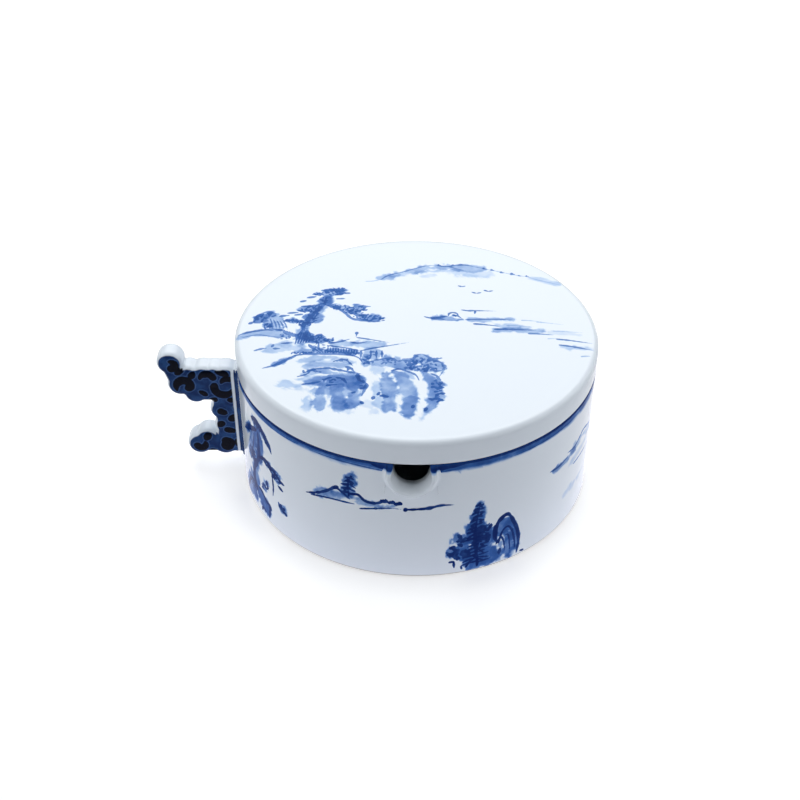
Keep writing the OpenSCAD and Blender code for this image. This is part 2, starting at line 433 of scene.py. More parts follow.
def paint_pine(c):
    """The tall pine that leans over the shore, and the bushes around its foot."""
    for k in range(6):
        x = -39.4 + 0.85 * k
        c.stroke([(x, -9.2 + 0.2 * k), (x + 0.5, -5), (-37.6 + 0.3 * k, 0)], 0.5, 0.8, 0.1, 0.5)
    c.stroke([(-37.6, -1), (-37.2, 3), (-35.6, 7), (-33.4, 11), (-31.4, 15), (-31, 19)], 1.5, 0.7, 0.2, 0.4)
    c.sweep([(-38, -8), (-37, 0), (-35.4, 6), (-33, 12), (-31, 18)], 3.0, 0.42)
    for pad in (
        (-29, 22.4, 8.6, 4.6, 0.12), (-27.2, 24, 5.0, 3.0, 0.1), (-34, 21.2, 3.4, 1.6, 0.3),
    ):
        c.needles(*pad)
    for x, y, length, angle in (
        (-31.6, 23.7, 3.0, 0.1), (-36, 19.2, 3.4, 0.25), (-38.7, 16.6, 2.2, 0.35), (-26, 18.4, 3.0, 0.05),
        (-23.8, 22, 1.8, 0.0), (-37, 13.5, 4.4, 0.1), (-41.6, 9.3, 4.0, 0.15), (-39.6, 8.2, 3.0, 0.2),
        (-44.4, 7.4, 3.4, 0.2), (-33, 14.6, 2.6, 0.5),
    ):
        c.dab(x, y, length, 1.1, angle, 0.8)
    c.needles(-36, 11.8, 8.0, 3.2, 0.3)
    c.needles(-31.6, 17.4, 2.4, 4.2, 0.0)
    c.stroke(
        [(-31, 14.4), (-27.5, 12.8), (-24.4, 10), (-21.4, 6), (-17, 4.9), (-12, 4.3)], 1.0, 0.8, 0.1, 0.3,
    )
    for pad in (
        (-23, 12.4, 12.4, 3.6, -0.12), (-20.4, 9.6, 7.0, 3.0, -0.5), (-15.8, 6.8, 11.0, 3.8, -0.2),
    ):
        c.needles(*pad)
    c.dab(-17.6, 13.6, 4.4, 1.0, 0.0, 0.7)
    for pad in (
        (-34.8, 6.4, 3.4, 7.2, -0.2), (-40.6, 4.1, 7.6, 2.4, -0.05), (-37, 2.4, 4.0, 2.6, 0.2),
        (-32, -6.4, 4.8, 5.6, 0.0), (-35.6, -5.4, 3.6, 4.4, 0.2), (-28.4, -6.8, 3.4, 2.4, 0.2),
    ):
        c.needles(*pad)
    c.dab(-32, -4, 2.4, 1.2, 0.4, 0.85)
    # Old tree at the left edge
    c.stroke([(-54.4, 3.6), (-53.2, 7.4), (-50, 9.8), (-47, 8.4)], 1.1, 0.55, 0.2, 0.3)
    c.needles(-52, 6, 3.4, 4.6, 0.1)
    c.needles(-48.8, 8.2, 3.0, 2.4, -0.4)
    c.sweep([(-51, 8.6), (-48, 8.8)], 2.6, 0.35)
    c.stroke([(-55.8, 2.2), (-54, 3.8)], 0.9, 0.85, 0.3, 0.3)
    for k in range(5):
        c.stroke([(-49 + 1.1 * k, 5.6 - 0.4 * k), (-48 + 1.1 * k, 2.4), (-47.4 + 1.2 * k, -0.8)], 0.5, 0.66)
    c.needles(-49.4, 1, 3.2, 2.8, 0.0)
    c.sweep([(-48, 4.6), (-46, 0)], 4.2, 0.36)


def paint_shore(c):
    """Terraced shore below the pine: worn contours, moss dots and broad washes."""
    c.stroke(
        [(-58.6, -4.6), (-55, -2.6), (-51, -1.4), (-47, -0.9), (-44, -1.7), (-42, -4)], 1.0, 0.72, 0.2, 0.3,
    )
    c.sweep([(-58, -6), (-53, -3.6), (-48, -3), (-43.4, -4.4)], 3.6, 0.42, 1.0)
    c.stroke([(-57, -5.8), (-52, -4.2), (-46, -5.4), (-42.6, -5)], 0.7, 0.42, 0.3, 0.5)
    for k in range(7):
        c.stroke([(-44.6 + 0.9 * k, -0.6 - 0.5 * k), (-42.6 + 0.8 * k, -4.2 - 0.4 * k)], 0.55, 0.75)
    c.blots(-43.5, -4.6, 4.2, 3.6, 12, 0.8)
    for dab in (
        (-42.2, -8.8, 3.8, 0.9, 0.12, 0.75), (-46.6, -10.4, 1.8, 0.9, 1.3, 0.66),
        (-45.2, -12, 2.4, 0.9, 0.0, 0.7),
    ):
        c.dab(*dab)
    c.stroke([(-52.4, -13.4), (-50, -12.2), (-48.4, -11.8)], 0.8, 0.72, 0.3, 0.3)
    c.sweep([(-47, -12.4), (-41, -11.4), (-37, -12.6)], 4.4, 0.26, 1.4)
    c.sweep([(-44, -9.6), (-38, -9.8)], 2.4, 0.2, 1.2)
    # Long ridge with moss on it
    c.stroke([(-48.8, -23.1), (-45, -21.3), (-42, -18.8), (-38.6, -15.8)], 1.1, 0.7, 0.5, 0.1)
    c.sweep([(-45, -20.9), (-41.6, -18), (-38.4, -15.4)], 2.0, 0.62, 0.8)
    c.stroke(
        [(-39, -15.6), (-34, -14.9), (-28, -14.8), (-22.6, -15), (-18.6, -16.6), (-17, -19.6)], 0.9, 0.78,
    )
    for k in range(26):
        x = -40 + 0.9 * k
        lift = 1.4 - 0.08 * abs(x + 28)
        y = -14.6 + 0.9 * lift * c.rng.uniform(0.2, 1)
        c.dab(x, y, 1.3, 0.6, math.pi / 2 + c.rng.normal(0, 0.35), 0.8)
    c.sweep([(-40, -14.2), (-33, -12.8), (-26, -13.2), (-19, -14)], 2.8, 0.5, 1.0)
    c.stroke([(-35, -9.4), (-33.4, -11.6), (-31, -13.8)], 0.9, 0.78)
    c.stroke([(-31.8, -8.6), (-31.4, -12), (-29.6, -14.4)], 0.7, 0.7)
    c.blots(-31, -11.4, 5.4, 4, 16, 0.8)
    # Terraces
    c.sweep([(-37, -19.4), (-32, -17.2), (-26, -16.8), (-20.6, -19)], 2.2, 0.34, 1.2)
    c.sweep([(-34, -20.4), (-28, -19.4), (-22, -21.6)], 3.0, 0.22, 1.6)
    for points, width in (
        ([(-26.4, -19), (-24.4, -17.8), (-22.2, -18.2), (-20, -21.4)], 0.7),
        ([(-22.4, -21.8), (-20.8, -22.4), (-19.4, -24.4)], 0.8),
        ([(-35.4, -25.4), (-32.4, -23.4), (-28.4, -22.6), (-25, -23.4), (-19.6, -25), (-16.8, -25.6)], 0.9),
        ([(-37.2, -27.4), (-34.8, -26.2), (-33.4, -24.8)], 0.7),
        ([(-35.4, -31.4), (-32.4, -30.8), (-29.6, -29.8)], 0.9),
        ([(-28.8, -29.2), (-27.6, -27.9), (-26.2, -27.6)], 0.9),
        ([(-25.2, -27.6), (-23, -28.2), (-21.6, -30.6)], 0.9),
        ([(-27.8, -32), (-26, -31.5), (-24.4, -31.4)], 0.8),
        ([(-18.4, -25.4), (-17.8, -28.6), (-15.4, -31), (-15.9, -34), (-16.6, -37)], 1.0),
    ):
        c.stroke(points, width, 0.85, 0.15, 0.25, 0.3)
    for patch in (
        (-33, -24, 5.6, 1.6, 13, 0.75), (-24, -18.2, 4.6, 1.2, 9, 0.7), (-21, -22.6, 2.6, 2.4, 8, 0.7),
        (-26.8, -29.2, 4.4, 2.2, 9, 0.8), (-16.6, -31.6, 1.8, 6.0, 12, 0.8),
    ):
        c.blots(*patch)
    for wash in (
        ([(-36.4, -26), (-30, -24.4), (-22, -25.6)], 2.4, 0.4, 1.0),
        ([(-36, -29), (-29, -27.6), (-20, -27.6)], 2.6, 0.3, 1.2),
        ([(-42, -31.6), (-36, -31.8), (-30, -31.4)], 2.6, 0.2, 1.6),
    ):
        c.sweep(*wash)
    # Broad washes that stand for the rock's face
    for points, width, load in (
        ([(-20.6, -26.6), (-19, -32), (-18.8, -38), (-19.8, -41)], 4.4, 0.62),
        ([(-25, -29), (-24.4, -35), (-23.6, -40), (-23.6, -43.6)], 4.8, 0.56),
        ([(-23.4, -38.6), (-23.4, -43.8)], 3.4, 0.5),
        ([(-29.4, -31), (-29.2, -37), (-29.6, -42.6)], 3.0, 0.42),
        ([(-33.6, -38.6), (-33.2, -44)], 2.4, 0.28),
        ([(-27, -32), (-26.6, -38)], 2.2, 0.22),
        ([(-17.4, -27), (-16.8, -33), (-17.2, -37)], 2.0, 0.6),
        ([(-36.6, -33), (-34.4, -34.4)], 2.2, 0.2),
        ([(-22, -43), (-20.4, -46)], 2.0, 0.14),
    ):
        c.sweep(points, width, load, 1.0, 0.5)
    for points, width, load in (
        ([(-33, -30), (-27, -29.5), (-19, -29)], 5.5, 0.5),
        ([(-30, -34.5), (-24, -34.5), (-18.5, -33)], 5.5, 0.5),
        ([(-36, -22), (-30, -20.8), (-23, -21.4)], 2.6, 0.4),
    ):
        c.sweep(points, width, load, 1.0, 0.5)
    c.dab(-19.2, -35.4, 1.4, 1.1, 0.5, 0.85)
    c.dab(-16.4, -40.6, 1.6, 1.1, -1.0, 0.95)


def paint_pavilion(c):
    """A small open pavilion with a low roof, half hidden by the ridge."""
    c.dab(-19.6, -2.7, 1.3, 1.1, 1.5, 0.85)
    for stroke in (
        ([(-19.6, -3.2), (-19.7, -4.8)], 0.45, 0.7),
        ([(-28.8, -8.6), (-25.6, -8), (-21.6, -6.1)], 0.7, 0.75, 0.1, 0.3),
        ([(-19.6, -5.2), (-15.4, -6.2), (-8.6, -8)], 0.65, 0.78, 0.1, 0.7),
        ([(-28.6, -10), (-23, -11.2), (-17.9, -12.8)], 0.65, 0.82, 0.1, 0.2),
        ([(-17.9, -12.8), (-13.6, -11.2), (-8, -9.5), (-2.4, -7.8)], 0.65, 0.75, 0.1, 0.7),
        ([(-21.6, -7.8), (-18.8, -8.4), (-15.8, -7.5)], 0.7, 0.78, 0.2, 0.3),
    ):
        c.stroke(*stroke)
    c.sweep([(-27, -9.4), (-22, -8.6), (-16.6, -9.4), (-11, -8.9)], 2.6, 0.34, 0.9)
    c.sweep([(-20.4, -8), (-16, -7.4)], 2.0, 0.24, 0.8)
    for k in range(12):
        x = -28.6 + 0.86 * k
        c.stroke([(x, -10.9 - 0.12 * k), (x + 0.1, -14 - 0.05 * k)], 0.42, 0.74)
    c.sweep([(-28, -12.4), (-19, -13.8)], 2.6, 0.45, 0.8)
    for x in (-17.8, -14.6, -12.8, -11.0):
        c.stroke([(x, -12.4), (x + 0.1, -17.2)], 0.6, 0.75)
    c.sweep([(-14.6, -13), (-12.8, -16.8)], 4.0, 0.36, 0.9)
    c.blots(-14, -14.6, 3.6, 3.8, 9, 0.8, 0.8)
    c.blots(-16, -18.4, 1.8, 5.0, 12, 0.9)
    c.sweep([(-16.2, -15.6), (-16, -21)], 2.0, 0.5, 0.8)


def paint_great_rock(c):
    """The big rock at the front: a mossy crown over hanging washes, with white left between them."""
    for points, width, load in (
        ([(-13.4, -19.2), (-8, -19), (-5, -20.4), (0, -19)], 4.0, 0.5),
        ([(0.4, -17), (4, -18.4), (7, -21.4)], 4.6, 0.5),
        ([(-2, -21.6), (3, -22), (7, -24)], 3.4, 0.42),
        ([(-9.6, -26), (-8.6, -32), (-7.6, -38), (-8, -43.6)], 3.8, 0.62),
        ([(-8, -38), (-8.2, -43.6)], 2.8, 0.4),
        ([(-12.2, -30.4), (-12, -36), (-10.6, -42.4)], 2.6, 0.26),
        ([(-5.4, -25), (-3, -31), (-2, -38), (-2, -45.6)], 3.8, 0.5),
        ([(-1.8, -38), (-2.2, -45.8)], 4.0, 0.58),
        ([(2.4, -24), (5.4, -29.6), (6.4, -35), (5.8, -40), (4.2, -44)], 3.6, 0.66),
        ([(3.8, -27), (6, -33)], 2.4, 0.3),
        ([(3.6, -45), (1.6, -49)], 1.0, 0.26),
        ([(-15, -40), (-12.4, -45)], 2.4, 0.12),
        ([(-6.6, -24.6), (-3.4, -25.4), (-0.6, -28)], 1.6, 0.28),
        ([(-12.6, -21), (-11.8, -24.4)], 3.4, 0.28),
    ):
        c.sweep(points, width, load, 0.9, 0.5)
    outline = [
        (-14.4, -18.6), (-11, -17.4), (-8, -17), (-5.6, -18.4), (-3, -17.2), (-0.8, -17.2), (0, -15.2),
        (2, -14.5), (4.6, -16.4), (7, -18.2), (8.9, -20.4), (8.4, -24), (7, -27.4),
    ]
    c.stroke(outline, 0.7, 0.55, 0.1, 0.2, 0.4)
    for x, y in outline[::2]:
        c.blots(x, y - 0.6, 2.0, 1.4, 4, 0.9, 0.75)
    for patch in (
        (-9.6, -19, 6.5, 2.6, 12, 0.8, 0.62), (3.4, -20.2, 9.0, 7.4, 60, 0.95, 0.85),
        (6.6, -34, 3.0, 12.0, 22, 1.1, 0.8), (-2, -20.4, 4.4, 3.6, 12, 0.9, 0.75),
    ):
        c.blots(*patch)
    for stroke in (
        ([(-7.8, -23.8), (-5.4, -22.8), (-2.6, -24), (0, -26), (1.1, -29)], 0.8, 0.82, 0.1, 0.3),
        ([(-1.9, -21.8), (-1.2, -23.4)], 1.0, 0.9), ([(4.6, -25), (6.6, -26.4), (7, -28.4)], 0.8, 0.8),
    ):
        c.stroke(*stroke)
    for x, y, angle in (
        (8.0, -32.3, -0.3), (7.3, -33, 0.5), (8.2, -35.5, 0.1), (6.8, -36, 0.8), (6.6, -38.2, 0.2),
        (4.8, -38.4, -0.2), (7, -39.4, 0.9), (3.1, -43.6, 1.2), (-11.4, -35.8, 1.2), (-13, -38, 1.3),
        (-9.2, -37.3, -0.3), (-10.2, -36.9, 0.2), (-0.8, -42.2, 1.4),
    ):
        c.dab(x, y, 1.8, 1.0, angle, 0.9)


def lid_painting():
    """The landscape on the lid: shore, pine and pavilion at the left, a bay and far hills beyond."""
    c = Canvas((-60, -60), (60, 60), seed=11, brush=1.1)
    paint_mountains(c)
    paint_bay(c)
    paint_shore(c)
    paint_pine(c)
    paint_pavilion(c)
    paint_great_rock(c)
    return c


def paint_islet(c, x, z, size=1.0):
    """A low island with one tiered tree and a hedge, its foot drawn as two level lines."""
    p = Placed(c, x, z, size)
    for stroke in (
        ([(-15.8, -2.2), (-12.6, -0.9), (-9, 1.2), (-6, 3.6), (-4.6, 5)], 0.95, 1.0, 0.3, 0.1),
        ([(-4.9, 5), (-2.2, 3.2), (0.2, 1.2)], 0.7, 0.95, 0.1, 0.3),
        ([(-14, -2.3), (-10, -1.2), (-5, -0.5), (1.8, -0.2)], 0.6, 0.95, 0.2, 0.2),
        ([(0.2, 3.4), (2.8, 3.9), (5, 2), (8, 1.7), (11.4, 2.8), (14, 2.4)], 0.85, 1.0, 0.1, 0.2),
        ([(3.2, -1.6), (8, -0.5), (13, 0.4), (16.2, 0.3)], 0.6, 0.9, 0.1, 0.6),
    ):
        p.stroke(*stroke)
    paint_tiered_tree(c, x - 0.4 * size, z + 2.4 * size, z + 10.9 * size, 3.0 * size)
    p.dab(-4.6, 4.6, 2.0, 1.2, 0.6, 1.0)
    for k in range(9):
        bump = 0.35 * (k % 3)
        p.dab(10.4 + 0.7 * k, 2.9 + bump - 0.12 * k, 1.3, 0.85, -0.9, 1.0)
    for wash in (
        ([(-11, 0.2), (-6, 1.4), (-3, 2.4)], 2.4, 0.42, 1.0), ([(-4, 1.6), (-2, 2.2)], 2.6, 0.5, 1.0),
        ([(2, 2.4), (6, 0.6), (14, 1)], 1.9, 0.42, 1.0),
    ):
        p.sweep(*wash)


def paint_grove(c, x, z, size=1.0):
    """Trees beside an arched rock, which stand on the foot of the wall."""
    p = Placed(c, x, z, size)
    paint_tiered_tree(c, x - 0.2 * size, z + 12 * size, z + 29 * size, 3.6 * size)
    paint_tiered_tree(c, x + 0.4 * size, z + 2 * size, z + 17 * size, 4.6 * size)
    p.stroke([(1, 2.2), (0.2, 8), (-0.6, 14), (-0.2, 22)], 0.8, 1.0, 0.1, 0.3)
    for pad in (
        (2.6, 17.8, 4.4, 4.0, 0.2, 1.0, 0.8, 0.6), (3.0, 13.4, 3.6, 4.4, 0.2, 1.0, 0.8, 0.6),
        (-5.0, 14.6, 2.6, 5.2, 0.1, 1.0, 0.8, 0.6), (-7.6, 9.8, 3.6, 3.8, 0.0, 1.0, 0.9, 0.6),
        (-4.4, 8.0, 5.0, 3.6, 0.2, 1.0, 0.9, 0.6),
    ):
        p.needles(*pad)
    p.dab(-7.8, 12, 1.8, 1.3, 0.3, 1.0)
    p.dab(-8.0, 5.8, 1.6, 1.0, 0.1, 1.0)
    for stroke in (
        ([(-7.2, 6), (-7, 3)], 0.8, 1.0), ([(-3.2, 2.4), (-2, 4.6), (-0.6, 5.2)], 0.8, 1.0),
        ([(-4.8, 3.4), (-4.4, 1.8)], 0.6, 0.9),
    ):
        p.stroke(*stroke)
    p.sweep([(-2, 8), (-1.4, 4)], 2.6, 0.3, 1.0)
    # Rock: one tall arch and two more inside it
    p.stroke(
        [(6.8, 11.6), (7, 17.4), (8.4, 19.7), (10.2, 20.8), (11.6, 19.9), (13.3, 16.4), (15, 12), (15.7, 7),
           (15.2, 2)], 1.25, 1.0, 0.1, 0.15,
    )
    for stroke in (
        ([(6.2, 17.6), (6.4, 13), (7.4, 9.6)], 1.2, 1.0),
        ([(8, 9.4), (9, 13.8), (11, 15.4), (12.8, 13), (14, 8), (14.4, 4)], 0.75, 0.95, 0.1, 0.3),
        ([(7, 9.2), (8.6, 11.8), (9.8, 9.6), (10.5, 5)], 0.7, 0.95, 0.1, 0.4),
        ([(10, 12), (11.4, 11.6), (12.2, 7), (12.4, 3)], 0.5, 0.8, 0.2, 0.5),
        ([(8.6, 7), (8.4, 4)], 0.8, 0.8),
    ):
        p.stroke(*stroke)
    for points, width, load in (
        (((8.0, 13.4), (9.6, 17.2), (12.6, 13.6)), 3.8, 0.85), (((3.4, 14), (4.2, 8), (4.6, 3)), 5.0, 0.95),
        (((10.4, 13), (11.6, 8), (12.2, 3)), 3.2, 0.8), (((6.2, 8), (7.4, 3)), 3.2, 0.6),
        (((13.6, 13), (14.6, 7), (14.6, 3)), 2.4, 0.85), (((8.6, 10), (9.2, 4)), 1.8, 0.4),
        (((6.0, 16), (6.4, 11)), 2.6, 0.95), (((-5, 12), (-4, 7)), 4.0, 0.8),
        (((12.6, 5), (13.2, 2.6)), 3.0, 0.4),
    ):
        p.sweep(points, width, load, 0.9, 0.4)
    p.dab(17.4, 1.9, 1.7, 0.8, -0.3, 1.0)


def paint_leaning_pine(c, x, z, size=1.0):
    """A bent pine over low rocks, which stand on the foot of the wall."""
    p = Placed(c, x, z, size)
    p.stroke([(-4, 9), (-6, 14), (-4.4, 20), (-1, 25), (0, 30), (0.2, 37)], 2.2, 0.9, 0.1, 0.3)
    p.sweep([(-5, 12), (-4, 20), (0, 27), (0, 36)], 4.8, 0.85)
    p.sweep([(-8, 22), (-5, 28), (-3, 35)], 4.0, 0.6)
    p.stroke([(-8, 20), (-5, 27), (-3, 34)], 0.8, 0.9, 0.3, 0.4)
    p.needles(-6, 24, 5.0, 5.0, 0.6, 1.0, 0.7, 0.6)
    p.stroke([(-4.4, 39.9), (0, 41), (4, 39), (7, 35.4), (8.2, 33)], 1.6, 1.0, 0.2, 0.2)
    p.needles(0, 39.4, 8.0, 3.0, -0.1, 1.0, 0.7, 0.5)
    p.needles(5, 37, 5.6, 2.6, -0.8, 1.0, 0.7, 0.5)
    p.stroke([(-1, 37), (-7, 34), (-13, 29.6)], 1.7, 1.0, 0.1, 0.3)
    p.needles(-8, 33.4, 8.0, 2.8, 0.6, 1.0, 0.7, 0.5)
    p.stroke([(-0.4, 26), (4, 28), (7.6, 26.6), (12.6, 23.6)], 1.3, 1.0, 0.1, 0.3)
    p.needles(5.4, 27, 6.0, 2.8, -0.1, 1.0, 0.7, 0.6)
    p.needles(9.4, 25, 6.4, 3.6, -0.5, 1.0, 0.7, 0.6)
    p.dab(12.6, 23.7, 3.0, 0.9, -0.2, 1.0)
    p.dab(11.8, 20.8, 3.0, 0.9, -0.4, 1.0)
    p.stroke([(7.6, 24), (7.8, 19), (7.2, 14.6)], 0.8, 1.0, 0.1, 0.4)
    p.needles(2.6, 16, 6.4, 2.6, 0.8, 1.0, 0.7, 0.6)
    p.needles(12.4, 12, 5.0, 2.2, -0.55, 1.0, 0.7, 0.45)
    p.stroke([(-3, 11.8), (0, 11.2), (2.4, 9.2), (4.6, 8.2), (4.2, 4.8), (3.6, 2.6)], 1.2, 1.0, 0.2, 0.2)
    p.stroke([(-1.4, 2.6), (-0.4, 4.2), (2, 3.6)], 1.0, 0.95)
    p.sweep([(-2.6, 9), (0.6, 7), (2.6, 5)], 5.4, 0.9, 1.0)
    p.stroke([(-15, 3), (-12, 8), (-8, 11), (-5, 9.4)], 1.2, 0.95, 0.2, 0.2)
    p.sweep([(-13, 4), (-10, 8), (-6, 5)], 6.0, 0.85, 1.0)
    p.sweep([(-9, 14), (-7, 9)], 4.0, 0.7, 1.0)
    p.blots(-9, 9, 8, 3, 12, 0.9)


def wall_painting():
    """The paintings round the wall, with the distance round it from the notch, to the right, and up."""
    half_turn = math.pi * RADIUS
    c = Canvas((-half_turn - 2, -1), (half_turn + 2, RIM + 1), seed=23, brush=1.15)
    paint_leaning_pine(c, -60, 0)
    paint_islet(c, -20.4, 28.6)
    c.dab(-2.8, 28.8, 1.0, 1.0, 1.2, 1.0)
    c.stroke([(-3, 28.8), (1, 29.1), (4.5, 29.5), (8, 30.3), (12.2, 30)], 1.15, 1.0, 0.25, 0.5)
    paint_grove(c, 19.8, 0)
    # Far bank to the right
    c.stroke([(47.4, 29.3), (53, 29), (58, 30)], 0.9, 0.55, 0.3, 0.5)
    c.stroke([(57, 31.4), (62, 31), (68, 33.2), (74, 31.6), (80, 29.4)], 0.8, 0.5, 0.2, 0.5)
    for wash in (
        ([(50, 29), (56, 28.6), (62, 29.8)], 1.9, 0.5, 1.1),
        ([(60, 30.4), (70, 31), (78, 28.6)], 2.6, 0.28, 1.4), ([(59, 25), (72, 26.6)], 1.8, 0.18, 1.4),
        ([(57, 13.6), (72, 14)], 2.0, 0.14, 1.6),
    ):
        c.sweep(*wash)
    paint_water(c, 62, 23.4, 16, -1.0, 0.6, 0.4)
    # The far side
    paint_islet(c, 116, 24.6, 1.1)
    paint_water(c, 92, 18, 15, 0.6, 0.8, 0.7)
    paint_water(c, 134, 19.4, 17, 0.8, 0.8, 0.7)
    paint_grove(c, 160, 0, 0.92)
    paint_water(c, 177, 30, 12, 0.4, 0.7, 0.6)
    paint_birds(c, 138, 36)
    paint_leaning_pine(c, -148, 0, 0.96)
    paint_water(c, -132, 12, 17, 0.5, 0.8, 0.7)
    paint_islet(c, -112, 27.4, 0.9)
    paint_water(c, -186, 27, 16, -0.4, 0.8, 0.6)
    paint_rim_band(c, half_turn)
    return c


def paint_rim_band(c, half_turn):
    """The blue band under the rim, which runs over the pouring lip's shoulders to the notch."""
    for end in (-half_turn - 1, half_turn + 1):
        side = math.copysign(1, end)
        # A dark line along the rim's very edge, right under the lid's seat, all the way round to the notch.
        edge = [(end, 46.3), (0.5 * end, 46.3), (12 * side, 46.2), (4.4 * side, 46.1)]
        c.stroke(edge, 0.9, 0.95, 0.01, 0.01, 0.1)
    left = [(-half_turn - 1, 45.7), (-60, 45.7), (-30, 45.7), (-14, 45.3), (-8, 44.7), (-4.6, 44.4)]
    right = [(4.6, 44.8), (10, 45.0), (30, 45.2), (80, 45.4), (half_turn + 1, 45.7)]
    for points, width, load in ((left, 1.6, 0.8), (left, 2.6, 0.5), (right, 1.8, 0.8), (right, 3.2, 0.55)):
        c.sweep(points, width, load, 1.5, 0.3, 0.12)
    for stroke in (
        ([(-34, 44.6), (-26, 44.5), (-18, 44.3), (-12, 43.9), (-6, 43.4)], 0.4, 0.6, 0.3, 0.3),
        ([(-13, 45.5), (-9.6, 45.1), (-4.6, 44.6)], 1.3, 0.9, 0.5, 0.05),
        ([(4.6, 45.0), (9, 45.2), (15, 45.6)], 1.5, 0.95, 0.1, 0.6),
        ([(5.2, 44.1), (7.2, 43.9), (8.8, 44.4)], 0.7, 0.8, 0.1, 0.5),
        ([(6.2, 43.2), (7.6, 43.5), (10.4, 43.9), (14, 44.1)], 0.4, 0.5, 0.2, 0.5),
        ([(30, 44.0), (44, 44.2), (60, 44.6)], 0.4, 0.5, 0.3, 0.3),
        ([(-58, 44.5), (-46, 44.4), (-36, 44.6)], 0.4, 0.5, 0.3, 0.3),
    ):
        c.stroke(*stroke)


def handle_painting():
    """Dark scrolls for the handle's sides. The first place is the distance out from the box's axis."""
    c = Canvas((54, 0), (92, 50), seed=37, soft=1.5, brush=1.08)

    def curl(x, z, reach, width, start, turns, shrink=0.3):
        """A comma that winds in towards its head."""
        count = 14
        points = []
        for k in range(count):
            share = k / (count - 1)
            angle = start + TAU * turns * share
            r = reach * (1 - (1 - shrink) * share)
            points.append((x + r * math.cos(angle), z + r * math.sin(angle)))
        c.stroke(points, 1.25 * width, 1.0, 0.45, 0.12, 0.05)

    curl(82.4, 41.6, 2.2, 1.9, 1.4, 0.62, 0.15)
    c.dab(79.6, 39.8, 3.58, 1.69, -0.7, 1.0)
    curl(78.2, 33.6, 3.4, 2.3, -0.5, 0.78, 0.3)
    c.dab(75.6, 38.2, 2.46, 1.69, -1.0, 1.0)
    curl(70.6, 36.4, 2.5, 1.7, 0.1, 0.46, 0.9)
    c.dab(71.2, 38.0, 1.57, 1.17, 0.0, 1.0)
    c.dab(65.4, 39.2, 4.48, 2.08, 0.35, 1.0)
    curl(65.6, 33.4, 3.6, 2.1, 3.3, 0.55, 0.75)
    curl(63.6, 34.6, 2.4, 1.5, 0.2, 0.3, 0.9)
    for dab in (
        (72.4, 30.8, 2.91, 1.69, 0.6, 1.0), (69.4, 27.8, 2.46, 1.69, -0.3, 1.0),
        (62.6, 28.0, 3.58, 1.69, -0.1, 1.0), (66.5, 22.8, 2.91, 2.86, 0.4, 1.0),
        (67.6, 17.4, 2.46, 2.08, -0.6, 1.0), (62.9, 20.2, 3.58, 2.47, -0.5, 1.0),
        (64.4, 14.8, 3.36, 2.21, 0.2, 1.0), (61.6, 24.6, 2.02, 1.56, -1.2, 1.0),
    ):
        c.dab(*dab)
    curl(66.6, 8.8, 1.5, 3.0, 1.0, 0.7, 0.5)
    for dab in (
        (62.2, 9.2, 3.58, 1.82, 1.4, 1.0), (62.0, 5.0, 2.46, 1.56, 0.2, 1.0),
        (72.6, 12.0, 3.36, 2.21, -1.1, 1.0),
    ):
        c.dab(*dab)
    curl(75.6, 8.4, 2.2, 1.8, 2.6, 0.6, 0.4)
    c.dab(71.0, 5.6, 2.69, 1.43, 0.1, 1.0)
    return c


# ---------------------------------------------------------------- clay


def object_from(bm, name):
    """Makes an object in the scene from a bmesh."""
    mesh = bpy.data.meshes.new(name)
    bm.to_mesh(mesh)
    bm.free()
    made = bpy.data.objects.new(name, mesh)
    bpy.context.scene.collection.objects.link(made)
    return made


def finish_mesh(bm, name, node, body, material):
    """Closes a piece's seams, makes its object, hangs it on its body's empty and hides the CAD node it stands
    for.
    """
    bmesh.ops.remove_doubles(bm, verts=bm.verts, dist=SEAM)
    bmesh.ops.recalc_face_normals(bm, faces=bm.faces)
    for face in bm.faces:
        face.smooth = True
    piece = object_from(bm, name)
    piece.data.materials.append(material)
    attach(piece, body)
    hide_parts(node)
    return piece


def grid_by_rule(bm, columns, rows, place):
    """A grid whose point (column, row) is moved to place(column, row), in millimetres."""
    made = bmesh.ops.create_grid(bm, x_segments=columns, y_segments=rows, size=1.0)
    for vert in made["verts"]:
        column = round((vert.co.x + 1) / 2 * columns)
        row = round((vert.co.y + 1) / 2 * rows)
        vert.co = Vector(place(column, row)) * MM


def refine(bm, wanted):
    """Splits each face whose middle is wanted, in millimetres, into four."""
    bm.faces.ensure_lookup_table()
    middles = np.array([face.calc_center_median() for face in bm.faces]) / MM
    chosen = wanted(middles)
    edges = {edge for face, take in zip(bm.faces, chosen) if take for edge in face.edges}
    bmesh.ops.subdivide_edges(bm, edges=list(edges), cuts=1, use_grid_fill=True)


def points_of(piece):
    """A piece's points, in millimetres."""
    flat = np.empty(3 * len(piece.data.vertices), np.float32)
    piece.data.vertices.foreach_get("co", flat)
    return flat.reshape(-1, 3).astype(float) / MM


def set_layer(piece, name, values):
    """Stores one number for each of a piece's points."""
    layer = piece.data.attributes.new(name, "FLOAT", "POINT")
    layer.data.foreach_set("value", np.asarray(values, np.float32))


def ease(x, low, high):
    """0 below low, 1 above high and smooth between them."""
    t = np.clip((x - low) / (high - low), 0, 1)
    return t * t * (3 - 2 * t)


def refine_painting(bm, canvas, on_skin, flatten):
    """Splits the faces under a painting into four, and those along its lines' edges once more."""
    painted = np.maximum(spread(canvas.line, 4), canvas.wash)
    edges = spread(np.clip(canvas.line, 0, 1) * (canvas.line < 0.98), 1)
    for layer, least in ((painted, 0.05), (edges, 0.12)):
        refine(bm, lambda p: on_skin(p) & (canvas.sample(layer, *flatten(p)) > least))


def lay_painting(piece, canvas, x, y, mask, ink, thin):
    """Carries a painting to a piece's points, where mask is 1, with lines and washes of these strengths."""
    for name, strength in (("line", 1.0), ("load", ink), ("wash", thin)):
        set_layer(piece, name, canvas.sample(getattr(canvas, name), x, y) * mask * strength)


